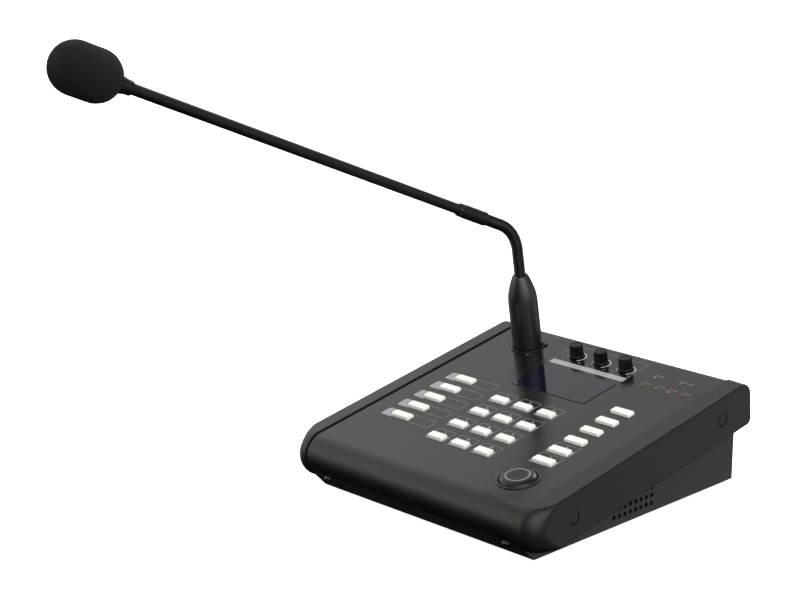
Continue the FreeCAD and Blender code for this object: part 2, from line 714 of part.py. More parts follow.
left_cap.Base = Vector(0, 0, 0)
keep("left_side_cap", left_cap)

# smooth round heads, flush in the caps' recesses, that hide the fixings
cap_screws = []
for k, (s, n) in enumerate(cap_fix):
    for side in (1, -1):
        rot = Rotation(Vector(0, 1, 0), 90 * side)
        tag = "%d_%s" % (k, "r" if side > 0 else "l")
        head = rod("cap_screw_head_" + tag, 4.55, 1.1, PANEL.multiply(Placement(Vector(side * (xo - 1.8), s, n), rot)))
        crown = doc.addObject("Part::Cone", "cap_screw_crown_" + tag)
        crown.Radius1, crown.Radius2, crown.Height = 4.55, 3.3, 0.65
        crown.Placement = PANEL.multiply(Placement(Vector(side * (xo - 0.7), s, n), rot))
        stem = rod("cap_screw_stem_" + tag, 1.95, xo - 1.7 - (wall_x - 4.0), PANEL.multiply(Placement(Vector(side * (wall_x - 4.0), s, n), rot)))
        cap_screws.append(fuse("cap_screw_" + tag, [head, crown, stem]))
group("side_cap_screws", cap_screws)


def pan_screw(name, place, r=1.45, head_r=2.65, head_h=1.7, length=6.0):
    """Cross-recessed pan head screw, its head standing on z = 0 and its stem going down."""
    b = doc.addObject("PartDesign::Body", name)
    b.Placement = place
    turn_body(b, [(0, -length), (r, -length), (r, 0), (head_r, 0), (head_r, head_h * 0.35), (head_r * 0.86, head_h * 0.72),
                  (head_r * 0.55, head_h * 0.95), (0, head_h)], name + "_turn")
    sk = new_sketch(b, "XY_Plane", name + "_cross", head_h + 0.2)
    w = head_r * 0.13
    q = head_r * 0.58
    polygon(sk, [(-w, -q), (w, -q), (w, -w), (q, -w), (q, w), (w, w), (w, q), (-w, q), (-w, w), (-q, w), (-q, -w), (-w, -w)])
    pocket(b, sk, head_h * 0.6 + 0.2, name + "_cross_cut")
    return b


cover_screws = []
for tag, x in (("a", screw_x), ("b", -screw_x)):
    cover_screws.append(pan_screw("front_screw_" + tag, axis_place((fy1, fz1), front_axis, x), length=3.6))
    cover_screws.append(pan_screw("rear_screw_" + tag, axis_place((HALF, REAR_Z), Vector(0, 1, 0), x), length=4.4))
group("cover_screws", cover_screws)

# ---------------------------------------------------------------- rubber feet
feet = []
for tag, x, y in (("a", 68, 76.5), ("b", -68, 76.5), ("c", 68, -76.5), ("d", -68, -76.5)):
    b = doc.addObject("PartDesign::Body", "foot_" + tag)
    b.Placement = Placement(Vector(x, y, 0), Rotation())
    turn_body(b, [(0, 0), (foot_rad - 0.5, 0), (foot_rad, 0.6), (foot_rad, foot_tall), (0, foot_tall)], "foot_turn_" + tag)
    feet.append(b)
group("rubber_feet", feet)

# ---------------------------------------------------------------- display
glass = body("display_window", at(GLASS[0], GLASS[1], 0.35))
sk = new_sketch(glass, "XY_Plane", "glass_outline")
rectangle(sk, glass_wide, glass_deep)
pad(glass, sk, 1.9, "glass_pad", back=True)
lcd = body("lcd_module", at(GLASS[0], GLASS[1], -1.55))
sk = new_sketch(lcd, "XY_Plane", "lcd_outline")
rectangle(sk, glass_wide + 4, glass_deep + 4)
pad(lcd, sk, board_drop - 1.55, "lcd_pad", back=True)
sk = new_sketch(lcd, "XY_Plane", "lcd_view")
rectangle(sk, glass_wide - 5, glass_deep - 6)
pocket(lcd, sk, 0.6, "lcd_view_cut")

# ---------------------------------------------------------------- circuit boards
key_board = body("key_board", at(0, 0, -board_drop.v))
sk = new_sketch(key_board, "XY_Plane", "key_board_outline")
polygon(sk, [(-80, -176), (80, -176), (80, -6), (-38, -6), (-38, -42), (-80, -42)])
pad(key_board, sk, board_thick, "key_board_pad", back=True)
key_post = [(76.0, -10.0), (76.0, -146.0), (-76.0, -60.0), (-76.0, -160.0)]
sk = new_sketch(key_board, "XY_Plane", "key_board_holes", 0.5)
for x, s in key_post:
    circle(sk, 1.6, x, s)
for side, x, s in knobs:
    circle(sk, shaft_rad + 0.3, x, s)
pocket(key_board, sk, board_thick + 1, "key_board_holes_cut")

main_top = f0 + ts + 9.3
main_board = body("main_board", Placement(Vector(0, 0, main_top), Rotation()))
sk = new_sketch(main_board, "XY_Plane", "main_board_outline")
rectangle(sk, 140, 90, 0, 47.0)
pad(main_board, sk, board_thick, "main_board_pad", back=True)
main_post = [(64.0, 8.0), (-64.0, 8.0), (64.0, 84.0), (-64.0, 84.0)]
sk = new_sketch(main_board, "XY_Plane", "main_board_holes", 0.5)
for x, y in main_post:
    circle(sk, 1.6, x, y)
pocket(main_board, sk, board_thick + 1, "main_board_holes_cut")

post_len = board_drop - skin
posts, board_screws = [], []
for k, (x, s) in enumerate(key_post):
    c = rod("key_post_%d" % k, 2.9, post_len, at(x, s, -board_drop.v))
    posts.append(cut("key_standoff_%d" % k, c, rod("key_post_bore_%d" % k, 1.5, post_len - 1.5, at(x, s, -board_drop.v))))
    flip = Placement(Vector(0, 0, -board_thick.v), Rotation(Vector(1, 0, 0), 180))
    board_screws.append(pan_screw("key_board_screw_%d" % k, at(x, s, -board_drop.v).multiply(flip), length=5.0))
for k, (x, y) in enumerate(main_post):
    c = rod("main_post_%d" % k, 2.9, main_top - board_thick.v - f0 - ts, Placement(Vector(x, y, f0 + ts), Rotation()))
    posts.append(cut("main_standoff_%d" % k, c, rod("main_post_bore_%d" % k, 1.5, 6.4, Placement(Vector(x, y, f0 + ts + 1.5), Rotation()))))
    board_screws.append(pan_screw("main_board_screw_%d" % k, Placement(Vector(x, y, main_top), Rotation()), length=5.0))
group("board_standoffs", posts)
group("board_screws", board_screws)

# network jack on the rear edge of the main board, its mouth in the rear wall
jack = body("network_jack", Placement(Vector(JACK[0], HALF - 0.1, JACK[1]), Rotation()))
sk = new_sketch(jack, "XZ_Plane", "jack_front")
rectangle(sk, 15.9, 13.4, 0, 6.7)
pad(jack, sk, 21.0, "jack_pad")
sk = new_sketch(jack, "XZ_Plane", "jack_mouth", -0.5)
polygon(sk, [(-5.9, 3.0), (5.9, 3.0), (5.9, 10.0), (3.2, 10.0), (3.2, 11.4), (-3.2, 11.4), (-3.2, 10.0), (-5.9, 10.0)])
pocket(jack, sk, 13.5, "jack_mouth_cut", back=True)

# flat ribbon between the two boards
rib = body("board_ribbon", Placement(Vector(0, 0, 0), Rotation()))
y_a, z_a = 9.0, main_top
y_b, z_b = base_yz(-60.0, -board_drop.v - board_thick.v)
N = 14
mid = []
for i in range(N + 1):
    u = i / N
    mid.append((y_a + (y_b - y_a) * (0.5 - 0.5 * math.cos(math.pi * u)), z_a + (z_b - z_a) * u))
lo = [(p[0] - 0.25, p[1]) for p in mid]
hi = [(p[0] + 0.25, p[1]) for p in mid]
hi[-1] = (hi[-1][0], hi[-1][1] + 0.25 * math.tan(TH) - 0.02)
lo[-1] = (lo[-1][0], lo[-1][1] - 0.25 * math.tan(TH) - 0.02)
sk = new_sketch(rib, "YZ_Plane", "ribbon_edge")
outline(sk, fillet_path([(p[0], p[1], 0) for p in lo + hi[::-1]]))
pad(rib, sk, 22.0, "ribbon_pad", both=True)

# ---------------------------------------------------------------- switches under the keys and the talk button
switches = []
spots = [(k[1], k[2]) for k in keys] + [TALK]
switch_top = key_tall.v * 0 - 4.9
for i, (x, s) in enumerate(spots):
    lower = box("switch_body_%02d" % i, 6.0, 6.0, 3.4, at(x - 3.0, s - 3.0, -board_drop.v))
    plunger = rod("switch_plunger_%02d" % i, 1.6, board_drop - 4.9, at(x, s, -board_drop.v))
    switches.append(fuse("switch_%02d" % i, [lower, plunger]))
group("key_switches", switches)

# ---------------------------------------------------------------- keys
for name, x, s, long in keys:
    b = body(name, at(x, s))
    sk = new_sketch(b, "XY_Plane", name + "_top", -1.85)
    rectangle(sk, long, key_deep)
    pad(b, sk, key_tall + 1.85, name + "_cap")
    half_l, half_d, top = long.v / 2, key_deep.v / 2, key_tall.v
    soften(b, [(0.7, lambda e, a=half_l, c=half_d: all(abs(abs(v.X) - a) < 1e-4 and abs(abs(v.Y) - c) < 1e-4 for v in e.Vertexes)
                and abs(e.Vertexes[0].Z - e.Vertexes[1].Z) > 1)])
    soften(b, [(0.55, lambda e, z=top: all(abs(v.Z - z) < 1e-4 for v in e.Vertexes))])
    sk = new_sketch(b, "XY_Plane", name + "_rim", -2.7)
    rectangle(sk, long + 1.6, key_deep + 1.5)
    pad(b, sk, 0.9, name + "_flange")
    sk = new_sketch(b, "XY_Plane", name + "_nub", -2.7)
    rectangle(sk, 3.0, 3.0)
    pad(b, sk, 4.9 - 2.7 - 0.1 - key_travel, name + "_nub_pad", back=True)

# ---------------------------------------------------------------- talk button and its bezel
bez_in = talk_rad.v + 0.35
turned("talk_bezel", at(TALK[0], TALK[1]), [
    (bez_in, -3.0), (bezel_rad - 1.0, -3.0), (bezel_rad - 1.0, 0), (bezel_rad, 0), (bezel_rad, bezel_tall * 0.45),
    (bezel_rad - 0.45, bezel_tall), (bez_in + 0.3, bezel_tall), (bez_in, bezel_tall - 0.3)])
turned("talk_button", at(TALK[0], TALK[1]), [
    (0, 0.7), (10.2, 0.7), (10.2, -4.0), (bez_in + 1.0, -4.0), (bez_in + 1.0, -3.2), (talk_rad, -3.2), (talk_rad, 0.3),
    (talk_rad - 0.6, talk_tall - 1.25), (talk_rad - 2.3, talk_tall - 0.4), (8.42, talk_tall - 0.3), (8.25, talk_tall), (7.8, talk_tall - 0.04), (0, talk_tall - 0.12)])
tb = nodes["talk_button"]
sk = new_sketch(tb, "XY_Plane", "talk_nub", 0.9)
circle(sk, 2.0)
pad(tb, sk, 0.9 + 3.6, "talk_nub_pad", back=True)

# ---------------------------------------------------------------- volume controls
pot_bodies = []
for side, x, s in knobs:
    blank = box("pot_box_" + side, 9.8, 11.0, board_drop - 3.2, at(x - 4.9, s - 5.5, -board_drop.v))
    neck = rod("pot_neck_" + side, 2.9, 2.9, at(x, s, -3.3))
    bore = rod("pot_bore_" + side, shaft_rad + 0.05, board_drop + 1.0, at(x, s, -board_drop.v - 0.5))
    pot_bodies.append(cut("pot_" + side, fuse("pot_blank_" + side, [blank, neck]), bore))
    turned("pot_shaft_" + side, at(x, s), [(0, -board_drop.v + 0.2), (shaft_rad, -board_drop.v + 0.2), (shaft_rad, 6.6), (shaft_rad - 0.4, 7.0), (0, 7.0)])
    kb = turned("volume_knob_" + side, at(x, s), [
        (shaft_rad, 0.5), (knob_skirt - 0.2, 0.5), (knob_skirt, 0.8), (knob_skirt, 1.1), (knob_skirt - 0.4, 1.5), (knob_rad + 0.1, 1.7),
        (knob_rad, knob_tall - 0.5), (knob_rad - 0.45, knob_tall), (0, knob_tall), (0, 7.0), (shaft_rad, 7.0)])
    # flutes round the grip
    sk = new_sketch(kb, "XY_Plane", "flute_" + side, knob_tall.v + 0.5)
    circle(sk, 0.42, knob_rad + 0.22, 0)
    fl = pocket(kb, sk, knob_tall.v + 0.5 - 2.0, "flute_cut_" + side)
    pat = kb.newObject("PartDesign::PolarPattern", "flutes_" + side)
    pat.Originals = [fl]
    pat.Axis = (origin(kb, "Z_Axis"), [""])
    pat.Angle = 360
    pat.Occurrences = 18
    kb.Tip = pat
    # pointer notch in the top, pointing up the slope
    sk = new_sketch(kb, "XY_Plane", "pointer_" + side, knob_tall.v + 0.5)
    rectangle(sk, 0.7, 2.6, 0, 2.9)
    pocket(kb, sk, 0.8, "pointer_cut_" + side)
group("volume_pots", pot_bodies)

# ---------------------------------------------------------------- indicators
led_list = []
for k, (x, s) in enumerate(leds):
    b = doc.addObject("PartDesign::Body", "led_%d" % k)
    b.Placement = at(x, s)
    r = led_rad.v
    tall = led_tall.v
    pts = [(0, -5.6), (1.9, -5.6), (1.9, -4.6), (led_rad, -4.6), (led_rad, tall - 1.1)]
    for a in (20, 40, 60, 75):
        pts.append((r * math.cos(math.radians(a)), tall - 1.1 + 1.1 * math.sin(math.radians(a))))
    pts.append((0, led_tall))
    turn_body(b, pts, "led_turn_%d" % k)
    sk = new_sketch(b, "XY_Plane", "led_legs_%d" % k, -5.6)
    rectangle(sk, 0.5, 0.5, -1.27, 0)
    rectangle(sk, 0.5, 0.5, 1.27, 0)
    pad(b, sk, board_drop.v - 5.6, "led_legs_pad_%d" % k, back=True)
    led_list.append(b)
group("status_leds", led_list)

# ---------------------------------------------------------------- microphone socket
# barrel, hung from a plate under the cover, and the insert that closes its lower end
sock = body("socket_barrel", at(MIC[0], MIC[1]), kept=False)
turn_body(sock, [
    (plug_rad + 0.15, -0.1), (plug_rad + 0.75, -0.1), (plug_rad + 0.75, -skin.v - 1.6), (plug_rad + 1.75, -skin.v - 1.6), (plug_rad + 1.75, -skin.v - 2.6),
    (plug_rad + 0.75, -skin.v - 2.6), (plug_rad + 0.75, -20.0), (plug_rad + 0.15, -20.0)], "socket_barrel_turn")
tab_dx, tab_ds = TAB[0] - MIC[0], TAB[1] - MIC[1]
sk = new_sketch(sock, "XY_Plane", "socket_tab_slot", 0.5)
rectangle(sk, 5.0, 5.0, tab_dx, tab_ds)
pocket(sock, sk, 8.0, "socket_tab_slot_cut")
plate = body("mic_socket_plate", at(MIC[0], MIC[1]))
sk = new_sketch(plate, "XY_Plane", "plate_outline", -skin.v - 1.6)
rectangle(sk, 27.0, 31.0)
circle(sk, plug_rad + 0.8)
pad(plate, sk, 1.6, "plate_pad")
sk = new_sketch(plate, "XY_Plane", "plate_tab_slot", 0.5)
rectangle(sk, 5.0, 5.0, tab_dx, tab_ds)
pocket(plate, sk, 8.0, "plate_tab_slot_cut")
insert = body("socket_insert", at(MIC[0], MIC[1]), kept=False)
turn_body(insert, [
    (0, -21.5), (plug_rad + 0.65, -21.5), (plug_rad + 0.65, -20.0), (plug_rad + 0.1, -20.0), (plug_rad + 0.1, -13.0), (7.7, -13.0), (7.7, -0.6),
    (7.2, -0.1), (0, -0.1)], "socket_insert_turn")
sk = new_sketch(insert, "XY_Plane", "socket_contacts", 0.5)
for a in (90, 210, 330):
    circle(sk, 1.35, 4.2 * math.cos(math.radians(a)), 4.2 * math.sin(math.radians(a)))
pocket(insert, sk, 13.5, "socket_contacts_cut")
group("mic_socket", [sock, insert])
ring = turned("mic_socket_ring", at(MIC[0], MIC[1]), [
    (plug_rad + 0.15, 0), (11.15, 0), (11.15, 0.7), (10.75, 1.1), (plug_rad + 0.45, 1.1), (plug_rad + 0.15, 0.8)])
sk = new_sketch(ring, "XY_Plane", "ring_tab_gap", 2.0)
rectangle(sk, 5.2, 5.2, tab_dx, tab_ds)
pocket(ring, sk, 4.0, "ring_tab_gap_cut")
# spring-loaded release tab beside the socket
tab_b = body("mic_release_tab", at(TAB[0], TAB[1]))
sk = new_sketch(tab_b, "XY_Plane", "tab_outline", -5.0)
hx = 2.1
# the tab's inner side is cut back so that it clears the plug
ux, uy = tab_dx / math.hypot(tab_dx, tab_ds), tab_ds / math.hypot(tab_dx, tab_ds)
clear = (plug_rad.v + 0.75 + 0.35) - math.hypot(tab_dx, tab_ds)
far = 1.5
wing = 2.0
corners = [(ux * clear - uy * wing, uy * clear + ux * wing), (ux * clear + uy * wing, uy * clear - ux * wing),
           (ux * far + uy * wing * 0.55, uy * far - ux * wing * 0.55), (ux * far - uy * wing * 0.55, uy * far + ux * wing * 0.55)]
outline(sk, fillet_path([(c[0], c[1], 0.25) for c in corners]))
pad(tab_b, sk, 6.25, "tab_pad")

# ---------------------------------------------------------------- microphone plug, gooseneck, tube and head
MICP = at(MIC[0], MIC[1], 0, -arm_turn.v)
pr = plug_rad
plug = turned("mic_plug", MICP, [
    (0, 1.3), (8.15, 1.3), (8.15, -12.0), (9.4, -12.0), (9.4, 1.2), (pr - 0.15, 1.3), (pr, 1.7), (pr, 33.0), (pr - 0.12, 35.0), (pr - 0.5, 38.0),
    (pr - 1.1, 41.0), (pr - 1.95, 44.0), (pr - 2.75, 46.2), (pr - 3.75, 48.6), (pr - 4.35, plug_tall - 1.2), (pr - 4.75, plug_tall - 0.2), (pr - 5.1, plug_tall),
    (flex_rad + 0.05, plug_tall), (flex_rad + 0.05, 40.0), (0, 40.0)])
sk = new_sketch(plug, "XY_Plane", "plug_pins", 1.5)
for a in (90 + arm_turn.v, 210 + arm_turn.v, 330 + arm_turn.v):
    circle(sk, 1.2, 4.2 * math.cos(math.radians(a)), 4.2 * math.sin(math.radians(a)))
pad(plug, sk, 12.0, "plug_pins_pad", back=True)

# the gooseneck is one flexible piece: here its lower and upper halves meet at a ball in the middle of the bend
BR, B0, AB = bend_rad.v, bend_start.v, math.radians(arm_bend.v)


def arc_pt(a):
    return Vector(0, -BR + BR * math.cos(a), B0 + BR * math.sin(a))


def arc_dir(a):
    return Vector(0, -math.sin(a), math.cos(a))


HA = AB / 2
HINGE = arc_pt(HA)
back_a = HA - 5.5 / BR


def swept(path, r):
    """Round bar of radius r along a wire that starts at its first vertex."""
    start = path.Edges[0].valueAt(path.Edges[0].FirstParameter)
    d = path.Edges[0].tangentAt(path.Edges[0].FirstParameter)
    prof = Part.Wire([Part.makeCircle(r, start, d)])
    return path.makePipeShell([prof], True, False)


line1 = Part.makeLine(Vector(0, 0, 41.0), Vector(0, 0, B0))
arc1 = Part.Arc(arc_pt(0), arc_pt(back_a / 2), arc_pt(back_a)).toShape()
lower = swept(Part.Wire([line1, arc1]), flex_rad.v)
neck = Part.makeCylinder(1.5, 5.9, arc_pt(back_a) - arc_dir(back_a) * 0.4, HINGE - arc_pt(back_a))
ball = Part.makeSphere(3.2, HINGE)
low = doc.addObject("Part::Feature", "gooseneck_lower")
low.Shape = lower.fuse([neck, ball]).removeSplitter()
low.Placement = MICP
keep("gooseneck_lower", low)

fore_a = HA + 0.35 / BR
END_L = 14.1                                        # straight part of the gooseneck after its bend
arc2 = Part.Arc(arc_pt(fore_a), arc_pt((fore_a + AB) / 2), arc_pt(AB)).toShape()
e2 = arc_pt(AB)
d2 = arc_dir(AB)
line2 = Part.makeLine(e2, e2 + d2 * (END_L + 3.0))
upper = swept(Part.Wire([arc2, line2]), flex_rad.v)
upper = upper.cut(Part.makeSphere(3.27, HINGE))
upf = doc.addObject("Part::Feature", "gooseneck_upper")
upf.Shape = upper
upf.Placement = MICP
keep("gooseneck_upper", upf)

ARM = MICP.multiply(Placement(e2, Rotation(Vector(0, 0, 1), d2)))     # z runs along the arm from the end of the bend
COL0, COL1 = END_L, END_L + 25.0
HEAD0 = COL1 + 254.6                                                   # lower end of the head's ferrule
turned("tube_collar", ARM, [
    (flex_rad + 0.0, COL0), (collar_rad - 0.5, COL0), (collar_rad, COL0 + 0.6), (collar_rad, COL1 - 6.0), (collar_rad - 0.25, COL1 - 5.6),
    (collar_rad - 0.25, COL1 - 0.6), (collar_rad - 0.6, COL1), (tube_rad, COL1), (tube_rad, COL0 + 6.0), (flex_rad + 0.0, COL0 + 6.0)])
turned("mic_tube", ARM, [(tube_bore, COL0 + 6.0), (tube_rad, COL0 + 6.0), (tube_rad, HEAD0 + 6.0), (tube_bore, HEAD0 + 6.0)])
FOAM0 = HEAD0 + 8.2                                                    # where the foam starts
C2 = FOAM0 + foam_rad.v                                                # centre of the foam's rear dome
turned("capsule_housing", ARM, [
    (tube_rad, HEAD0), (3.9, HEAD0), (4.4, HEAD0 + 0.5), (4.4, HEAD0 + 4.0), (5.1, HEAD0 + 6.5), (5.4, HEAD0 + 9.0), (6.4, HEAD0 + 14.0),
    (6.4, C2 + 16.0), (5.8, C2 + 18.0), (0, C2 + 18.0), (0, C2 + 2.0), (tube_rad, C2 + 2.0)])
foam = body("windscreen", ARM)
sk = new_sketch(foam, "XZ_Plane", "foam_section")
fr, fb = foam_rad.v, foam_body.v
inr = 6.5
a0 = math.asin(5.6 / fr)
start = (5.6, C2 - fr * math.cos(a0))
tip = (0.0, C2 + fb + fr)
k45 = math.sqrt(0.5) * fr
am = (a0 + math.pi / 2) / 2
outline(sk, [
    ("arc", start, (fr * math.sin(am), C2 - fr * math.cos(am)), (fr, C2)),
    ("line", (fr, C2), (fr, C2 + fb)),
    ("arc", (fr, C2 + fb), (k45, C2 + fb + k45), tip),
    ("line", tip, (0.0, C2 + 18.1)),
    ("line", (0.0, C2 + 18.1), (inr, C2 + 18.1)),
    ("line", (inr, C2 + 18.1), (inr, HEAD0 + 14.0)),
    ("line", (inr, HEAD0 + 14.0), start)])
rv = foam.newObject("PartDesign::Revolution", "foam_turn")
rv.Profile = sk
rv.ReferenceAxis = (origin(foam, "Z_Axis"), [""])
rv.Angle = 360
foam.Tip = rv

# ---------------------------------------------------------------- check and export
doc.recompute()
bad = []
for o in doc.Objects:
    st = [str(x) for x in o.State]
    if any("Invalid" in x or "Error" in x for x in st):
        bad.append("%s: %s" % (o.Name, st))
for o in pockets:
    took = o.BaseFeature.Shape.Volume - o.Shape.Volume
    if took < 0.02:
        bad.append("%s: the pocket took away %.4f mm3" % (o.Name, took))
for name, o in nodes.items():
    sh = o.Shape
    if sh.isNull() or not sh.isValid() or not sh.Solids:
        bad.append("%s: shape is null, invalid or has no solid" % name)
if bad:
    raise SystemExit("FAILED\n" + "\n".join(bad))
for name in sorted(nodes):
    sh = nodes[name].Shape
    sh.exportStep("parts/%s.step" % name)
    bb = sh.BoundBox
    print("%-22s solids %2d  volume %10.1f  x %7.2f %7.2f  y %8.2f %8.2f  z %7.2f %7.2f" % (
        name, len(sh.Solids), sh.Volume, bb.XMin, bb.XMax, bb.YMin, bb.YMax, bb.ZMin, bb.ZMax))
print("nodes", len(nodes))
n_axis = PANEL.Rotation.multVec(Vector(0, 0, 1))
print("panel normal", n_axis)
print("bend axis", MICP.Rotation.multVec(Vector(1, 0, 0)), "bend centre", MICP.multVec(HINGE))
print("mic base", MICP.multVec(Vector(0, 0, 0)), "plug top", MICP.multVec(Vector(0, 0, plug_tall.v)))
print("arm start", ARM.multVec(Vector(0, 0, 0)), "arm direction", ARM.Rotation.multVec(Vector(0, 0, 1)), "collar", COL0, COL1, "head", HEAD0, "foam centre", C2)
for side, x, s in knobs:
    print("knob", side, at(x, s).Base)
print("front screw", fy1, fz1, "normal", ny, nz, "front tangent deg", TANG_DEG, "reach", reach)
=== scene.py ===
import math

import bmesh
import bpy
from mathutils import Matrix, Vector, noise


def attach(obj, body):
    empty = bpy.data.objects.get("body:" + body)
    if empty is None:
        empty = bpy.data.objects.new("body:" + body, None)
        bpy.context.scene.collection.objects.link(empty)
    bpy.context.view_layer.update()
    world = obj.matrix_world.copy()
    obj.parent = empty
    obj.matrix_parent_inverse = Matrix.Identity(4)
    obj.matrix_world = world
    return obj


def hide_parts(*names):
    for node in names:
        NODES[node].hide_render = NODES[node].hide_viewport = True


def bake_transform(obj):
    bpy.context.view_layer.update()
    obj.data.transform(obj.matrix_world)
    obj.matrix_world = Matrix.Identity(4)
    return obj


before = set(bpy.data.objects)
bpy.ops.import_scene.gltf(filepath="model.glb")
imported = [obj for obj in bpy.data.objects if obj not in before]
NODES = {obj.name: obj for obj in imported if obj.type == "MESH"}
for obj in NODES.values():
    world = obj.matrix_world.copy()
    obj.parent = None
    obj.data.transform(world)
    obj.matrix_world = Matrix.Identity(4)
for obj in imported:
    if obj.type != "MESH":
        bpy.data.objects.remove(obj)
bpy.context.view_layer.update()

scene = bpy.context.scene

# ------------------------------------------------------------------ camera
cam_data = bpy.data.cameras.new("camera")
cam = bpy.data.objects.new("camera", cam_data)
scene.collection.objects.link(cam)
cam_data.sensor_fit = "HORIZONTAL"
cam_data.sensor_width = 36.0
cam_data.lens = 93.2
cam_data.clip_start, cam_data.clip_end = 0.05, 60.0
right, up, ahead = Vector((0.70798, 0.70623, 0.00135)), Vector((-0.19048, 0.18912, 0.96330)), Vector((-0.68006, 0.68226, -0.26842))
m = Matrix.Identity(4)
for i in range(3):
    m[i][0], m[i][1], m[i][2] = right[i], up[i], -ahead[i]
m.translation = Vector((0.80843, -0.92681, 0.46278))
cam.matrix_world = m
scene.camera = cam

# ------------------------------------------------------------------ frames of the object (millimetres)
TH = math.radians(10.06)
CT, ST = math.cos(TH), math.sin(TH)
YP, ZP = 85.1, 69.65
PANEL = Matrix.Translation((0, YP, ZP)) @ Matrix.Rotation(TH, 4, "X")
BASE = Matrix.Identity(4)


def at(x, s, n=0.0, turn=0.0):
    return PANEL @ Matrix.Translation((x, s, n)) @ Matrix.Rotation(math.radians(turn), 4, "Z")


# ------------------------------------------------------------------ material helpers
def node_tree(name):
    mat = bpy.data.materials.new(name)
    mat.use_nodes = True
    nt = mat.node_tree
    return mat, nt, nt.nodes["Principled BSDF"]


def link(nt, a, b):
    nt.links.new(a, b)


def coords(nt):
    return nt.nodes.new("ShaderNodeTexCoord").outputs["Object"]


def noise_node(nt, scale, detail=3.0, rough=0.55, vec=None):
    n = nt.nodes.new("ShaderNodeTexNoise")
    n.inputs["Scale"].default_value = scale
    n.inputs["Detail"].default_value = detail
    n.inputs["Roughness"].default_value = rough
    link(nt, vec if vec is not None else coords(nt), n.inputs["Vector"])
    return n


def ramp(nt, src, stops):
    r = nt.nodes.new("ShaderNodeValToRGB")
    el = r.color_ramp.elements
    while len(el) < len(stops):
        el.new(0.5)
    for e, (p, c) in zip(el, stops):
        e.position = p
        e.color = (*c, 1) if len(c) == 3 else c
    link(nt, src, r.inputs["Fac"])
    return r.outputs["Color"]


def remap(nt, src, lo, hi, a=0.0, b=1.0):
    r = nt.nodes.new("ShaderNodeMapRange")
    r.inputs["From Min"].default_value, r.inputs["From Max"].default_value = a, b
    r.inputs["To Min"].default_value, r.inputs["To Max"].default_value = lo, hi
    link(nt, src, r.inputs["Value"])
    return r.outputs["Result"]


def bump(nt, bsdf, height, distance, strength=1.0, under=None):
    b = nt.nodes.new("ShaderNodeBump")
    b.inputs["Distance"].default_value = distance
    b.inputs["Strength"].default_value = strength
    link(nt, height, b.inputs["Height"])
    if under is not None:
        link(nt, under, b.inputs["Normal"])
    link(nt, b.outputs["Normal"], bsdf.inputs["Normal"])
    return b.outputs["Normal"]


def mottled(name, rgb, vary=0.12, rough=0.35, rough_vary=0.05, grain=900.0, depth=0.00002, strength=0.4, ior=1.5, metallic=0.0,
            broad=60.0, sheen=0.0, spec=0.5, tint=None):
    """Painted or moulded surface: fine grain in the normal, mottled colour and uneven gloss."""
    mat, nt, b = node_tree(name)
    co = coords(nt)
    fine = noise_node(nt, grain, 4.0, 0.6, co)
    wide = noise_node(nt, broad, 3.0, 0.5, co)
    lo = tuple(c * (1 - vary) for c in rgb)
    hi = tuple(c * (1 + vary) for c in rgb)
    mix = nt.nodes.new("ShaderNodeMath")
    mix.operation = "MULTIPLY_ADD"
    link(nt, fine.outputs["Fac"], mix.inputs[0])
    mix.inputs[1].default_value = 0.5
    half = nt.nodes.new("ShaderNodeMath")
    half.operation = "MULTIPLY"
    link(nt, wide.outputs["Fac"], half.inputs[0])
    half.inputs[1].default_value = 0.5
    link(nt, half.outputs[0], mix.inputs[2])
    link(nt, ramp(nt, mix.outputs[0], [(0.3, lo), (0.7, hi)]), b.inputs["Base Color"])
    link(nt, remap(nt, wide.outputs["Fac"], rough - rough_vary, rough + rough_vary, 0.3, 0.7), b.inputs["Roughness"])
    b.inputs["Metallic"].default_value = metallic
    b.inputs["IOR"].default_value = ior
    b.inputs["Specular IOR Level"].default_value = spec
    if tint:
        b.inputs["Specular Tint"].default_value = (*tint, 1)
    if sheen:
        b.inputs["Sheen Weight"].default_value = sheen
        b.inputs["Sheen Roughness"].default_value = 0.6
    bump(nt, b, fine.outputs["Fac"], depth, strength)
    return mat


# ------------------------------------------------------------------ materials
M = {}
M["cover"] = mottled("cover_paint", (0.0094, 0.0084, 0.0068), vary=0.38, rough=0.17, rough_vary=0.05, grain=700.0, depth=0.00005, strength=1.0, tint=(1.0, 0.975, 0.90))
M["chassis"] = mottled("chassis_paint", (0.030, 0.0265, 0.0235), vary=0.2, rough=0.42, rough_vary=0.05, grain=1300.0, depth=0.00003, strength=0.5)
M["cap"] = mottled("cap_paint", (0.0099, 0.0099, 0.0099), vary=0.22, rough=0.30, rough_vary=0.04, grain=1400.0, depth=0.00002, strength=0.4)
M["screw"] = mottled("screw_black", (0.22, 0.22, 0.22), vary=0.12, rough=0.27, metallic=1.0, grain=2500.0)
M["steel"] = mottled("screw_steel", (0.55, 0.55, 0.56), vary=0.08, rough=0.3, metallic=1.0, grain=2500.0)
M["foot"] = mottled("foot_rubber", (0.022, 0.022, 0.022), vary=0.2, rough=0.75, grain=1200.0, depth=0.00005)
M["window"] = mottled("window_glass", (0.0042, 0.0038, 0.014), vary=0.05, rough=0.035, rough_vary=0.01, grain=400.0, depth=0.000001, strength=0.1, broad=30.0)
M["lcd"] = mottled("lcd_panel", (0.02, 0.02, 0.03), vary=0.1, rough=0.3)
M["board"] = mottled("circuit_board", (0.012, 0.075, 0.03), vary=0.2, rough=0.35, grain=500.0)
M["switch"] = mottled("switch_plastic", (0.02, 0.02, 0.02), vary=0.1, rough=0.4)
M["bezel"] = mottled("bezel_plastic", (0.010, 0.010, 0.010), vary=0.15, rough=0.22, rough_vary=0.03, grain=1500.0, depth=0.00001)
M["socket"] = mottled("socket_plastic", (0.006, 0.006, 0.006), vary=0.15, rough=0.4, grain=1500.0)
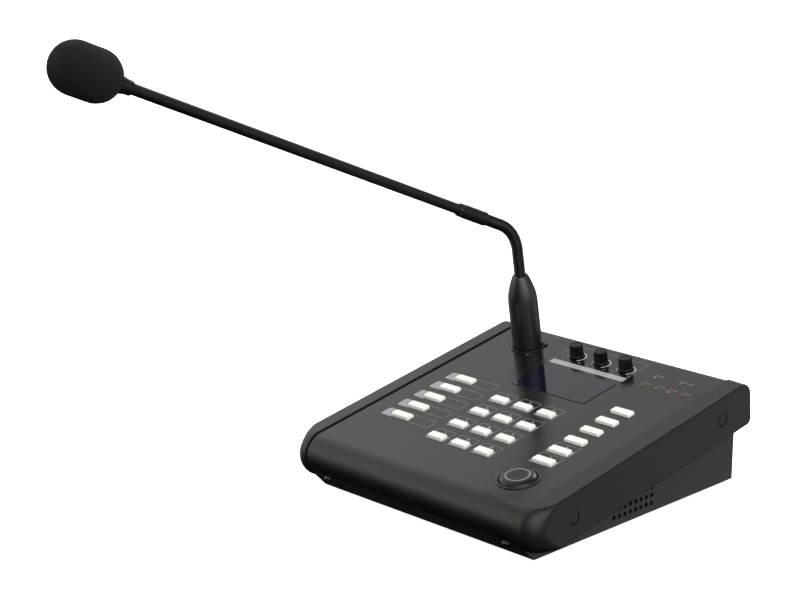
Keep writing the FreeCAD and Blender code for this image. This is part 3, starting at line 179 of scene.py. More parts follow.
M["ring"] = mottled("ring_metal", (0.005, 0.005, 0.005), vary=0.15, rough=0.32, grain=1500.0)
M["brass"] = mottled("standoff_brass", (0.60, 0.42, 0.16), vary=0.08, rough=0.3, metallic=1.0)
M["jack"] = mottled("jack_plastic", (0.018, 0.018, 0.018), vary=0.1, rough=0.35, grain=1500.0)
M["gold"] = mottled("contact_gold", (0.75, 0.52, 0.2), vary=0.05, rough=0.2, metallic=1.0)
M["ribbon"] = mottled("ribbon_plastic", (0.3, 0.3, 0.31), vary=0.1, rough=0.5)
M["key"] = mottled("key_plastic", (0.860, 0.855, 0.798), vary=0.02, rough=0.38, rough_vary=0.04, grain=1800.0, depth=0.000012, strength=0.3)
M["talk"] = mottled("talk_plastic", (0.010, 0.010, 0.0098), vary=0.2, rough=0.22, rough_vary=0.03, grain=1500.0, depth=0.000012)
M["knob"] = mottled("knob_plastic", (0.0020, 0.0020, 0.0020), vary=0.2, rough=0.42, rough_vary=0.05, grain=1500.0, depth=0.00003, spec=0.35)
M["shaft"] = mottled("shaft_metal", (0.6, 0.6, 0.6), vary=0.05, rough=0.3, metallic=1.0)
M["plug"] = mottled("plug_metal", (0.100, 0.100, 0.100), vary=0.10, rough=0.34, rough_vary=0.02, grain=1800.0, depth=0.000012, strength=0.3, metallic=0.96)
M["flex"] = mottled("gooseneck_metal", (0.0028, 0.0028, 0.0028), vary=0.2, rough=0.26, rough_vary=0.04, grain=2200.0, depth=0.00001)
M["tube"] = mottled("tube_metal", (0.006, 0.006, 0.006), vary=0.15, rough=0.42, rough_vary=0.03, grain=2200.0, depth=0.000015)
M["collar"] = mottled("collar_metal", (0.006, 0.006, 0.006), vary=0.15, rough=0.34, rough_vary=0.03, grain=2200.0, depth=0.000012)
M["head"] = mottled("head_metal", (0.006, 0.006, 0.006), vary=0.15, rough=0.36, grain=2200.0, depth=0.000012)
M["print"] = mottled("print_grey", (0.155, 0.157, 0.160), vary=0.06, rough=0.4, grain=1500.0)
M["print_white"] = mottled("print_white", (0.50, 0.50, 0.49), vary=0.05, rough=0.4, grain=1500.0)
M["ear"] = mottled("print_ear", (0.22, 0.222, 0.225), vary=0.06, rough=0.4, grain=1500.0)
M["patch"] = mottled("print_patch", (0.316, 0.322, 0.340), vary=0.05, rough=0.4, grain=1500.0)
M["strip"] = mottled("print_strip", (0.36, 0.375, 0.395), vary=0.04, rough=0.35, grain=1500.0)
M["dark"] = mottled("print_dark", (0.02, 0.02, 0.022), vary=0.1, rough=0.4)
# near-black stand-in for the shade in gaps between parts (painted shade); no piece uses it
M["gap"] = mottled("painted_gap_shade", (0.004, 0.004, 0.004), vary=0.1, rough=0.7)


def lens_material(name, rgb, glow):
    """Coloured clear lens: painted shade darkens the colour towards the rim by facing angle, leaving a brighter core,
    and a little light of its own.
    """
    mat, nt, b = node_tree(name)
    # painted rim shade: the facing angle mixes in a darker copy of the lens colour at the rim
    painted_rim_facing = nt.nodes.new("ShaderNodeLayerWeight")
    painted_rim_facing.inputs["Blend"].default_value = 0.35
    speck = noise_node(nt, 900.0, 2.0, 0.5)
    r = nt.nodes.new("ShaderNodeMix")
    r.data_type = "RGBA"
    r.inputs["A"].default_value = (*rgb, 1)
    r.inputs["B"].default_value = (*[c * 0.35 for c in rgb], 1)
    link(nt, painted_rim_facing.outputs["Facing"], r.inputs["Factor"])
    link(nt, r.outputs["Result"], b.inputs["Base Color"])
    link(nt, remap(nt, speck.outputs["Fac"], 0.10, 0.2, 0.3, 0.7), b.inputs["Roughness"])
    b.inputs["Emission Color"].default_value = (*rgb, 1)
    b.inputs["Emission Strength"].default_value = glow
    b.inputs["Coat Weight"].default_value = 0.6
    b.inputs["Coat Roughness"].default_value = 0.08
    return mat


M["led_green"] = lens_material("led_green", (0.058, 0.135, 0.035), 0.02)
M["led_amber"] = lens_material("led_amber", (0.20, 0.14, 0.035), 0.02)
M["led_red"] = lens_material("led_red", (0.19, 0.03, 0.038), 0.02)
M["led_clear"] = lens_material("led_clear", (0.16, 0.158, 0.15), 0.0)


def foam_material():
    mat, nt, b = node_tree("foam")
    co = coords(nt)
    pores = nt.nodes.new("ShaderNodeTexVoronoi")
    pores.inputs["Scale"].default_value = 1500.0
    link(nt, co, pores.inputs["Vector"])
    fine = noise_node(nt, 2600.0, 3.0, 0.6, co)
    wide = noise_node(nt, 90.0, 3.0, 0.5, co)
    add = nt.nodes.new("ShaderNodeMath")
    add.operation = "MULTIPLY_ADD"
    link(nt, fine.outputs["Fac"], add.inputs[0])
    add.inputs[1].default_value = 0.6
    link(nt, pores.outputs["Distance"], add.inputs[2])
    link(nt, ramp(nt, add.outputs[0], [(0.25, (0.0018, 0.0018, 0.0018)), (0.95, (0.0085, 0.0085, 0.0085))]), b.inputs["Base Color"])
    link(nt, remap(nt, wide.outputs["Fac"], 0.88, 1.0, 0.3, 0.7), b.inputs["Roughness"])
    b.inputs["Sheen Weight"].default_value = 0.03
    b.inputs["Sheen Roughness"].default_value = 0.7
    b.inputs["Specular IOR Level"].default_value = 0.25
    bump(nt, b, add.outputs[0], 0.00025, 0.9)
    return mat


M["foam"] = foam_material()


# ------------------------------------------------------------------ mesh helpers
def make(name, verts, faces, mat, body="console", place=BASE, smooth=32.0, stands_for=(), bevel=None):
    """A piece from vertices in millimetres. place takes them to the row frame."""
    me = bpy.data.meshes.new(name)
    me.from_pydata([(place @ Vector(v)) * 0.001 for v in verts], [], faces)
    me.validate()
    bm = bmesh.new()
    bm.from_mesh(me)
    bmesh.ops.remove_doubles(bm, verts=bm.verts, dist=1e-7)
    bmesh.ops.recalc_face_normals(bm, faces=bm.faces)
    bm.to_mesh(me)
    bm.free()
    ob = bpy.data.objects.new(name, me)
    scene.collection.objects.link(ob)
    if mat is not None:
        me.materials.append(mat)
    shade(ob, smooth)
    if bevel:
        add_bevel(ob, *bevel)
    if body:
        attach(ob, body)
    if stands_for:
        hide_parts(*stands_for)
    return ob


def shade(ob, degrees):
    ob.data.shade_smooth()
    ob.data.set_sharp_from_angle(angle=math.radians(degrees))


def add_bevel(ob, width_mm, segments=2, limit=40.0):
    b = ob.modifiers.new("bevel", "BEVEL")
    b.width = width_mm * 0.001
    b.segments = segments
    b.limit_method = "ANGLE"
    b.angle_limit = math.radians(limit)
    b.use_clamp_overlap = True
    return b


def even(ob):
    """Keeps the shading of large flat faces flat beside small rounded edges."""
    w = ob.modifiers.new("even", "WEIGHTED_NORMAL")
    w.mode = "FACE_AREA"
    w.weight = 80
    w.keep_sharp = True
    return w


def bake_modifiers(ob, smooth=None):
    """Applies an object's modifiers to its mesh."""
    dg = bpy.context.evaluated_depsgraph_get()
    dg.update()
    new = bpy.data.meshes.new_from_object(ob.evaluated_get(dg))
    old = ob.data
    ob.modifiers.clear()
    ob.data = new
    bpy.data.meshes.remove(old)
    if smooth is not None:
        shade(ob, smooth)
    return ob


def carve(ob, cutters, smooth=32.0, solver="EXACT"):
    """Takes the joined cutters out of ob and removes them."""
    for c in cutters:
        md = ob.modifiers.new("carve", "BOOLEAN")
        md.operation = "DIFFERENCE"
        md.solver = solver
        md.object = c
        bake_modifiers(ob)
    for c in cutters:
        bpy.data.objects.remove(c)
    bm = bmesh.new()
    bm.from_mesh(ob.data)
    bmesh.ops.remove_doubles(bm, verts=bm.verts, dist=2e-7)
    bmesh.ops.dissolve_degenerate(bm, edges=bm.edges, dist=1e-7)
    bm.to_mesh(ob.data)
    bm.free()
    shade(ob, smooth)
    return ob


def arc(cx, cy, r, a0, a1, steps):
    """Points on an arc, angles in degrees, both ends included."""
    return [(cx + r * math.cos(math.radians(a0 + (a1 - a0) * i / steps)), cy + r * math.sin(math.radians(a0 + (a1 - a0) * i / steps)))
            for i in range(steps + 1)]


def rounded(pts, per_90=8, closed=True):
    """Polygon whose corners (x, y, radius) are rounded."""
    out = []
    n = len(pts)
    for i in range(n):
        p = pts[i]
        if p[2] <= 0 or (not closed and i in (0, n - 1)):
            out.append((p[0], p[1]))
            continue
        a, b = pts[i - 1], pts[(i + 1) % n]
        ax, ay = a[0] - p[0], a[1] - p[1]
        bx, by = b[0] - p[0], b[1] - p[1]
        la, lb = math.hypot(ax, ay), math.hypot(bx, by)
        ax, ay, bx, by = ax / la, ay / la, bx / lb, by / lb
        half = math.acos(max(-1, min(1, ax * bx + ay * by))) / 2
        if half > math.radians(89.5):
            out.append((p[0], p[1]))
            continue
        t = p[2] / math.tan(half)
        mx, my = ax + bx, ay + by
        lm = math.hypot(mx, my)
        c = (p[0] + mx / lm * p[2] / math.sin(half), p[1] + my / lm * p[2] / math.sin(half))
        s = (p[0] + ax * t, p[1] + ay * t)
        e = (p[0] + bx * t, p[1] + by * t)
        a0 = math.degrees(math.atan2(s[1] - c[1], s[0] - c[0]))
        a1 = math.degrees(math.atan2(e[1] - c[1], e[0] - c[0]))
        d = (a1 - a0 + 180) % 360 - 180
        steps = max(2, int(abs(d) / 90 * per_90 + 0.5))
        out += arc(c[0], c[1], p[2], a0, a0 + d, steps)
    return out


def lathe(profile, segs=96, mod=None):
    """Vertices and faces of a profile [(r, z), ...] turned about z. mod(r, z, angle) may change the radius."""
    verts, rings = [], []
    for r, z in profile:
        if r < 1e-6:
            rings.append([len(verts)])
            verts.append((0, 0, z))
        else:
            ring = []
            for k in range(segs):
                a = 2 * math.pi * k / segs
                rr = mod(r, z, a) if mod else r
                ring.append(len(verts))
                verts.append((rr * math.cos(a), rr * math.sin(a), z))
            rings.append(ring)
    faces = []
    for a, b in zip(rings, rings[1:]):
        for k in range(segs):
            k2 = (k + 1) % segs
            if len(a) == 1 and len(b) == 1:
                continue
            if len(a) == 1:
                faces.append((a[0], b[k], b[k2]))
            elif len(b) == 1:
                faces.append((a[k], b[0], a[k2]))
            else:
                faces.append((a[k], b[k], b[k2], a[k2]))
    return verts, faces


def closed_lathe(profile, segs=96, mod=None):
    """As lathe, for a profile that is a closed loop off the axis."""
    v, f = lathe(profile + [profile[0]], segs, mod)
    return v, f


def prism(poly, n0, n1):
    """Closed prism over a polygon in x and s, from n0 to n1."""
    k = len(poly)
    verts = [(x, y, n0) for x, y in poly] + [(x, y, n1) for x, y in poly]
    faces = [tuple(range(k - 1, -1, -1)), tuple(range(k, 2 * k))]
    faces += [(i, (i + 1) % k, k + (i + 1) % k, k + i) for i in range(k)]
    return verts, faces


def ring_prism(outer, inner, n0, n1):
    """Closed frame between two loops of the same number of points."""
    k = len(outer)
    verts = [(x, y, n0) for x, y in outer] + [(x, y, n0) for x, y in inner] + [(x, y, n1) for x, y in outer] + [(x, y, n1) for x, y in inner]
    faces = []
    for i in range(k):
        j = (i + 1) % k
        faces.append((i, j, 2 * k + j, 2 * k + i))
        faces.append((k + j, k + i, 3 * k + i, 3 * k + j))
        faces.append((2 * k + i, 2 * k + j, 3 * k + j, 3 * k + i))
        faces.append((j, i, k + i, k + j))
    return verts, faces


def band(outer, inner, n0, n1):
    """Closed strip between two open lines of the same number of points."""
    k = len(outer)
    verts = [(x, y, n0) for x, y in outer] + [(x, y, n0) for x, y in inner] + [(x, y, n1) for x, y in outer] + [(x, y, n1) for x, y in inner]
    faces = []
    for i in range(k - 1):
        j = i + 1
        faces.append((i, j, 2 * k + j, 2 * k + i))
        faces.append((k + j, k + i, 3 * k + i, 3 * k + j))
        faces.append((2 * k + i, 2 * k + j, 3 * k + j, 3 * k + i))
        faces.append((j, i, k + i, k + j))
    for i in (0, k - 1):
        q = (i, 2 * k + i, 3 * k + i, k + i)
        faces.append(q if i == 0 else q[::-1])
    return verts, faces


def rect(x0, x1, s0, s1, r=0.0, per_90=5):
    return rounded([(x0, s0, r), (x1, s0, r), (x1, s1, r), (x0, s1, r)], per_90)


def join(parts):
    verts, faces = [], []
    for v, f in parts:
        o = len(verts)
        verts += list(v)
        faces += [tuple(i + o for i in q) for q in f]
    return verts, faces


def shift(part, x=0.0, y=0.0, z=0.0):
    return [(a + x, b + y, c + z) for a, b, c in part[0]], part[1]


def frame_line(x0, x1, s0, s1, r, w, n1=0.03):
    return ring_prism(rect(x0, x1, s0, s1, r), rect(x0 + w, x1 - w, s0 + w, s1 - w, max(r - w, 0.01)), 0.0, n1)


def cutter(name, part, place):
    return make(name, part[0], part[1], None, body=None, place=place)


# ------------------------------------------------------------------ layout on the panel
MID = 0.3
rows_s = [-68.9 - 14.65 * i for i in range(6)]
keypad_s = [-94.3 - 19.16 * i for i in range(4)]
keypad_x = [MID + 19.16 * (i - 1) for i in range(3)]
left_x, right_x = -58.4, 58.9
KEY_D, KEY_T = 6.1, 1.9
digits = ["1", "2", "3", "4", "5", "6", "7", "8", "9", "star", "0", "hash"]
marks = ["1", "2", "3", "4", "5", "6", "7", "8", "9", "*", "0", "#"]
keys = []
for i in range(5):
    keys.append(("zone_key_%d" % (i + 1), left_x, rows_s[i + 1], 14.6))
for i in range(12):
    keys.append(("digit_key_%s" % digits[i], keypad_x[i % 3], keypad_s[i // 3], 11.8))
for i in range(6):
    keys.append(("function_key_%d" % (i + 1), right_x, rows_s[i], 14.6))
TALK = (59.65, -166.1)
MIC = (-57.5, -23.7)
knobs = [("left", -18.1, -19.9), ("middle", 2.2, -19.9), ("right", 22.5, -19.9)]
leds = [(45.5, -32.0, "green"), (55.6, -32.0, "green"), (65.7, -32.0, "amber"), (75.8, -32.0, "red"), (45.5, -19.8, "clear"), (65.6, -19.8, "green")]
GLASS = (MID, -55.5)
TAB = (-47.9, -15.9)
NC = (-186.8, -13.6)
RO, SKIN = 13.6, 1.5

# ------------------------------------------------------------------ top cover
fs = (-94.5 - YP) * CT + (2.5 - ZP) * ST
fn = -(-94.5 - YP) * ST + (2.5 - ZP) * CT
dist = math.hypot(fs - NC[0], fn - NC[1])
reach = math.sqrt(dist ** 2 - RO ** 2)
tang = math.atan2(fn - NC[1], fs - NC[0]) - math.acos(RO / dist)
MV = (math.cos(tang), math.sin(tang))
DV = (-math.sin(tang), math.cos(tang))
if DV[0] * (fs - NC[0]) + DV[1] * (fn - NC[1]) < 0:
    DV = (-DV[0], -DV[1])
TANG = math.degrees(tang) % 360


def front(m_, d_):
    return NC[0] + MV[0] * m_ + DV[0] * d_, NC[1] + MV[1] * m_ + DV[1] * d_


def rear(n, inset=0.0, lean=0.085, s0=6.77, top=0.7):
    return s0 - inset - lean * (top - n)


end_deg = TANG - 3.0
lip_out, lip_in, lip_end = RO - 1.3, RO - 2.8, 13.6
d_e = -RO * math.sin(math.radians(3.0))
d_in = -math.sqrt((RO - SKIN) ** 2 - lip_in ** 2)
deg_in = TANG - math.degrees(math.acos(lip_in / (RO - SKIN)))
outer_rear = rounded([(NC[0], 0, 0), (rear(0, 0.7), 0, 7.6), (rear(-22, 0.7), -22, 0)], 14, closed=False)
inner_rear = rounded([(NC[0], -SKIN, 0), (rear(-SKIN, 0.7) - SKIN, -SKIN, 6.1), (rear(-22, 0.7) - SKIN, -22, 0)], 14, closed=False)
loop = list(reversed(arc(NC[0], NC[1], RO, 90, end_deg, 56)))              # from the lip's step up to the panel
loop = [front(lip_out, lip_end), front(lip_out, d_e)] + loop[:-1] + outer_rear
loop += list(reversed(inner_rear))
loop += arc(NC[0], NC[1], RO - SKIN, 90, deg_in, 40)[1:]
loop += [front(lip_in, lip_end)]
W = 87.05


def extrude_x(poly, x0, x1):
    k = len(poly)
    verts = [(x0, a, b) for a, b in poly] + [(x1, a, b) for a, b in poly]
    faces = [tuple(range(k - 1, -1, -1)), tuple(range(k, 2 * k))]
    faces += [(i, (i + 1) % k, k + (i + 1) % k, k + i) for i in range(k)]
    return verts, faces


part = extrude_x(loop, -W, W)
cover = make("top_cover_shell", part[0], part[1], M["cover"], body=None, place=PANEL)
holes = []
for name, x, s, length in keys:
    holes.append(prism(rect(x - length / 2 - 0.25, x + length / 2 + 0.25, s - KEY_D / 2 - 0.25, s + KEY_D / 2 + 0.25, 0.9), -4, 2))
holes.append(prism(rect(GLASS[0] - 30.15, GLASS[0] + 30.15, GLASS[1] - 16.15, GLASS[1] + 16.15, 0.5), -4, 2))
holes.append(prism(arc(TALK[0], TALK[1], 12.9, 0, 360 - 5, 71), -4, 2))
holes.append(prism(arc(MIC[0], MIC[1], 10.65, 0, 360 - 5, 71), -4, 2))
for _, x, s in knobs:
    holes.append(prism(arc(x, s, 3.2, 0, 350, 35), -4, 2))
for x, s, _ in leds:
    holes.append(prism(arc(x, s, 1.6, 0, 345, 23), -4, 2))
trims = []
lip_box = [front(lip_out + 0.9, 0.0), front(lip_out + 0.9, lip_end + 1), front(lip_in - 1.5, lip_end + 1), front(lip_in - 1.5, 0.0)]
skirt_box = [(0.0, -10.5), (9.0, -10.5), (9.0, -23), (0.0, -23)]
for side in (-1, 1):
    for b in (lip_box, skirt_box):
        trims.append(extrude_x(b, side * 84.0, side * 90.0) if side > 0 else extrude_x(b, -90.0, -84.0))
tab_hole = prism(rect(TAB[0] - 2.7, TAB[0] + 1.15, TAB[1] - 2.7, TAB[1] + 1.25, 0.4), -4, 2.5)
carve(cover, [cutter("holes", join(holes), PANEL), cutter("tab_hole", tab_hole, PANEL), cutter("trims", join(trims), PANEL)], smooth=30)
add_bevel(cover, 0.14, 2, 50)
bake_modifiers(cover, 30)
even(cover)
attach(cover, "console")
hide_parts("top_cover")


# ------------------------------------------------------------------ side caps
def smooth_table(x, rows):
    """Smooth curve through (x, value) rows."""
    if x <= rows[0][0]:
        return rows[0][1]
    if x >= rows[-1][0]:
        return rows[-1][1]
    i = max(j for j in range(len(rows) - 1) if rows[j][0] <= x)
    (x0, y0), (x1, y1) = rows[i], rows[i + 1]
    m0 = (y1 - rows[i - 1][1]) / (x1 - rows[i - 1][0]) if i > 0 else (y1 - y0) / (x1 - x0)
    m1 = (rows[i + 2][1] - y0) / (rows[i + 2][0] - x0) if i + 2 < len(rows) else (y1 - y0) / (x1 - x0)
    h = x1 - x0
    t = (x - x0) / h
    return ((2 * t ** 3 - 3 * t * t + 1) * y0 + (t ** 3 - 2 * t * t + t) * h * m0 + (3 * t * t - 2 * t ** 3) * y1 + (t ** 3 - t * t) * h * m1)


EDGE = 1.05
FACE_S = [(-8.3, -178.5), (-6, -180.7), (-3, -183.2), (0, -185.3), (3, -186.9), (6, -188.0), (10, -188.6), (15, -188.65), (22.5, -188.5), (30, -188.3), (35, -187.9), (39, -187.3),
          (42, -186.4), (44.9, -185.2), (48, -183.5), (50.5, -181.3), (53.2, -178.5)]
FACE_N = [(-8.3, -0.37), (-6, -1.2), (-3, -2.6), (0, -4.5), (3, -6.9), (6, -9.0), (10, -11.0), (15, -12.5), (22.5, -13.6), (30, -14.5), (35, -15.4), (39, -16.7),
          (42, -18.2), (44.9, -20.1), (48, -22.5), (50.5, -24.8), (53.2, -26.8)]
FACE_W = [(-8.3, 1.05), (-6, 1.7), (-3, 3.5), (0, 5.7), (3, 8.0), (6, 9.8), (10, 10.9), (15, 11.2), (30, 11.2), (35, 10.9), (39, 9.6), (42, 7.9), (44.9, 6.0), (48, 3.6), (50.5, 2.0), (53.2, 1.05)]


def cap_loop():
    """Points round a cap: (s, n, outward normal, where the edge ends on the side face, edge width)."""
    top, low = 0.7, -27.9
    nose = 14.3
    c = rounded([(NC[0], top, 0), (rear(top), top, 8.3), (rear(low), low, 4.5), (NC[0], low, 0)], 22)
    raw = []
    k = 70
    rest = c[1:]
    for i in range(k):
        raw.append((NC[0] + 14.0 * i / k, top))
    raw.append((NC[0] + 14.0, top))
    for i in range(1, 12):
        raw.append((NC[0] + 14.0 + (rest[0][0] - NC[0] - 14.0) * i / 12, top))
    raw += rest[:-1]
    last = rest[-2]
    for i in range(1, 12):
        raw.append((last[0] + (NC[0] + 14.0 - last[0]) * i / 12, low))
    for i in range(k + 1):
        raw.append((NC[0] + 14.0 * (1 - i / k), low))
    raw += arc(NC[0], NC[1], nose, 270, 90, 110)[1:-1]
    res = []
    n = len(raw)
    for i, p in enumerate(raw):
        a, b = raw[i - 1], raw[(i + 1) % n]
        tx, ty = b[0] - a[0], b[1] - a[1]
        l = math.hypot(tx, ty)
        nx, ny = -ty / l, tx / l
        if p[0] < NC[0] - 1e-6:
            q = math.hypot(p[0] - NC[0], p[1] - NC[1])
            nx, ny = (p[0] - NC[0]) / q, (p[1] - NC[1]) / q
            along = nose * math.radians(math.degrees(math.atan2(p[1] - NC[1], p[0] - NC[0])) % 360 - 90)
        else:
            if ny * (p[1] + 13.6) + nx * (p[0] + 90.0) < 0:
                nx, ny = -nx, -ny
            along = NC[0] - p[0] if p[1] > NC[1] else nose * math.pi + p[0] - NC[0]
        if -8.3 < along < 53.2:
            res.append((p[0], p[1], nx, ny, smooth_table(along, FACE_S), smooth_table(along, FACE_N), smooth_table(along, FACE_W)))
        else:
            res.append((p[0], p[1], nx, ny, p[0] - nx * EDGE, p[1] - ny * EDGE, EDGE))
    return res


def build_cap(side):
    loop_ = cap_loop()
    x_in, x_out = (87.25, 100.0) if side > 0 else (88.4, 100.0)
    r_in = 0.15 if side > 0 else 0.6
    verts, rows = [], []
    in_steps, out_steps = 5, 22
    for s, n, nx, ny, fs_, fn_, w in loop_:
        row = []
        sec = []
        w = min(w, x_out - x_in - r_in)
        for j in range(in_steps + 1):
            a = math.pi / 2 * j / in_steps
            inset = r_in - r_in * math.sin(a)
            sec.append((x_in + r_in - r_in * math.cos(a), s - nx * inset, n - ny * inset))
        for j in range(1, 8):
            sec.append((x_in + r_in + (x_out - w - x_in - r_in) * j / 8, s, n))
        for j in range(out_steps + 1):
            a = math.pi / 2 * j / out_steps
            f = 1 - math.cos(a)
            sec.append((x_out - w + w * math.sin(a), s + (fs_ - s) * f, n + (fn_ - n) * f))
        for x, ps, pn in sec:
            u = (x - 87.84) / (x_out - 87.84)
            q = max(0.0, min(1.0, (pn + 9.0) / 9.0))
            pn += q * q * (0.22 - 0.5 * u)
            row.append(len(verts))
            verts.append((side * x, ps, pn))
        rows.append(row)
    faces = []
    k = len(rows)
    for i in range(k):
        a, b = rows[i], rows[(i + 1) % k]
        for j in range(len(a) - 1):
            faces.append((a[j], a[j + 1], b[j + 1], b[j]))
    faces.append(tuple(r[0] for r in rows))
    faces.append(tuple(r[-1] for r in reversed(rows)))
    name = "right_side_cap" if side > 0 else "left_side_cap"
    ob = make(name + "_shell", verts, faces, M["cap"], body=None, place=PANEL, smooth=28)
    rec = []
    for s, n in ((-165.54, -14.25), (-24.06, -13.66)):
        v, f = prism(arc(0, 0, 4.62, 0, 352.5, 47), 0, 6)
        v = [(side * (98.2 + z), s + x, n + y) for x, y, z in v]
        rec.append((v, f))
    carve(ob, [cutter("recess", join(rec), PANEL)], smooth=28)
    even(ob)
    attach(ob, "console")
    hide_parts(name)
    return ob


build_cap(1)
build_cap(-1)

# smooth round heads in the caps' recesses, painted with the caps
for side in (1, -1):
    for k, (s, n) in enumerate(((-165.54, -14.25), (-24.06, -13.66))):
        prof = rounded([(0, -3.0, 0), (1.9, -3.0, 0), (1.9, 0.0, 0), (4.58, 0.0, 0.1), (4.57, 1.32, 0.35), (3.3, 1.68, 2.2), (1.5, 1.76, 0), (0, 1.77, 0)], 10, closed=False)
        v, f = lathe(prof, 80)
        place = PANEL @ Matrix.Translation((side * 98.22, s, n)) @ Matrix.Rotation(math.radians(90 * side), 4, "Y")
        ob = make("cap_screw_%s_%d" % ("r" if side > 0 else "l", k + 1), v, f, M["cap"], body="console", place=place, smooth=32)
        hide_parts("side_cap_screws")


# ------------------------------------------------------------------ keys
def key_mesh(length):
    """Moulded cap: rounded corners, slight draft, a soft top edge and a faint crown."""
    levels = [(-2.7, -0.8, 0.5), (-1.8, -0.8, 0.5), (-1.8, 0.0, 0.8), (0.2, 0.0, 0.8), (1.35, 0.07, 0.8), (1.58, 0.13, 0.8), (1.74, 0.24, 0.8),
              (1.83, 0.40, 0.75), (1.865, 0.62, 0.65), (1.875, 1.0, 0.5), (1.90, 2.0, 0.3)]
    rows, verts = [], []
    for n, inset, r in levels:
        hx, hy = length / 2 - inset, KEY_D / 2 - inset
        lo = rect(-hx, hx, -hy, hy, r, 6)
        rows.append([len(verts) + i for i in range(len(lo))])
        verts += [(x, y, n) for x, y in lo]
    k = len(rows[0])
    faces = [tuple(reversed(rows[0]))]
    for a, b in zip(rows, rows[1:]):
        faces += [(a[i], a[(i + 1) % k], b[(i + 1) % k], b[i]) for i in range(k)]
    faces.append(tuple(rows[-1]))
    nub = prism(rect(-1.5, 1.5, -1.5, 1.5), -4.0, -2.7)
    return join([(verts, faces), nub])


for name, x, s, length in keys:
    v, f = key_mesh(length)
    make(name + "_cap", v, f, M["key"], body=name, place=at(x, s), smooth=40, stands_for=(name,))

# ------------------------------------------------------------------ print on the panel
lines, ears, patches = [], [], []
W_LINE = 0.46
for name, x, s, length in keys:
    if name.startswith("zone"):
        patches.append(prism(rounded([(-73.7, s - 4.0, 1.7), (-64.4, s - 4.0, 0), (-64.4, s + 5.0, 0), (-73.7, s + 5.0, 1.7)], 6), 0.0, 0.03))
        lines.append(frame_line(-73.9, -33.0, s - 4.2, s + 5.2, 1.9, W_LINE, 0.028))
    elif name.startswith("digit"):
        ears.append(prism(rect(x - 7.3, x + 7.3, s - 3.75, s + 3.5, 0.9), 0.0, 0.03))
        lines.append(frame_line(x - 7.6, x + 7.6, s - 4.0, s + 9.8, 1.2, W_LINE, 0.028))
    elif name in ("function_key_5", "function_key_6"):
        ears.append(prism(rect(x - 8.7, x + 8.7, s - 3.75, s + 3.5, 0.9), 0.0, 0.03))
        lines.append(frame_line(x - 9.0, x + 9.0, s - 4.0, s + 9.2, 1.2, W_LINE, 0.028))
lines.append(frame_line(-30.9, 30.6, -34.4, -6.3, 1.0, 0.46, 0.026))


def not_in_holes(part, name, mat):
    """Print stops at the openings it surrounds."""
    ob = make(name, part[0], part[1], mat, body=None, place=PANEL, smooth=20)
    cuts = []
    for nm, x, s, length in keys:
        cuts.append(prism(rect(x - length / 2 - 0.25, x + length / 2 + 0.25, s - KEY_D / 2 - 0.25, s + KEY_D / 2 + 0.25, 0.9), -1, 1))
    carve(ob, [cutter("openings", join(cuts), PANEL)], smooth=20)
    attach(ob, "console")
    return ob


not_in_holes(join(ears), "key_light_boxes", M["ear"])
not_in_holes(join(patches), "zone_patches", M["patch"])
v, f = join(lines)
make("panel_lines", v, f, M["print"], place=PANEL, smooth=20)
v, f = prism(rect(-29.8, 30.9, -34.5, -29.1, 0.15), 0.0, 0.035)
make("volume_strip", v, f, M["strip"], place=PANEL, smooth=20)

# crescents round the knobs, thin at the start and wide at the end
cres = []
for _, x, s in knobs:
    outer_, inner_ = [], []
    for i in range(61):
        u = i / 60
        a = -145.0 - u * 268.0
        w_ = 0.34 + 0.66 * u
        ca, sa = math.cos(math.radians(a)), math.sin(math.radians(a))
        outer_.append((x + 6.45 * ca, s + 6.45 * sa))
        inner_.append((x + (6.45 - w_) * ca, s + (6.45 - w_) * sa))
    cres.append(band(outer_, inner_, 0.0, 0.032))
v, f = join(cres)
make("volume_crescents", v, f, M["print_white"], place=PANEL, smooth=20)

# a plain triangle in front of the socket marks which way the plug goes in
v, f = prism(rounded([(-51.0, -33.9, 0.15), (-47.2, -33.9, 0.15), (-49.1, -32.7, 0.15)], 4), 0.0, 0.03)
make("socket_mark", v, f, M["ear"], place=PANEL, smooth=20)


def text_mesh(string, size):
    cu = bpy.data.curves.new("glyph", "FONT")
    cu.body = string
    cu.size = size
    cu.align_x, cu.align_y = "CENTER", "CENTER"
    cu.resolution_u = 3
    ob = bpy.data.objects.new("glyph", cu)
    scene.collection.objects.link(ob)
    bpy.context.view_layer.update()
    me = bpy.data.meshes.new_from_object(ob.evaluated_get(bpy.context.evaluated_depsgraph_get()))
    bm = bmesh.new()
    bm.from_mesh(me)
    bmesh.ops.remove_doubles(bm, verts=bm.verts, dist=1e-4 * size)
    got = bmesh.ops.extrude_face_region(bm, geom=list(bm.faces))
    for g_ in got["geom"]:
        if isinstance(g_, bmesh.types.BMVert):
            g_.co.z += 0.03
    bmesh.ops.recalc_face_normals(bm, faces=bm.faces)
    verts = [tuple(v_.co) for v_ in bm.verts]
    bm.verts.index_update()
    faces = [tuple(v_.index for v_ in f_.verts) for f_ in bm.faces]
    bm.free()
    bpy.data.meshes.remove(me)
    bpy.data.objects.remove(ob)
    return verts, faces


glyphs, small, darks, greys = [], [], [], []
for (name, x, s, length), mark in zip(keys[5:17], marks):
    glyphs.append(shift(text_mesh(mark, 3.0), x, s + 7.0))
for i, (x, s, _) in enumerate(leds):
    greys.append(shift(text_mesh(("01 001", "02 002", "03 003", "04 004", "05 00005", "06 00000006")[i], 2.0), x + (1.6, 1.6, 1.6, 1.6, 1.6, 2.4)[i], s + 3.5))
for i, (_, x, s) in enumerate(knobs):
    small.append(shift(text_mesh("0", 1.9), x - 6.6, s - 6.4))
    small.append(shift(text_mesh("10", 1.9), x + 6.9, s - 6.4))
for i in range(2):
    name, x, s, length = keys[21 + i]
    small.append(shift(text_mesh(str(i + 5), 2.2), x, s + 6.6))
for i in range(5):
    name, x, s, length = keys[i]
    darks.append(shift(text_mesh(str(i + 1), 2.8), -68.6, s + 0.6, 0.02))
v, f = join(glyphs + small)
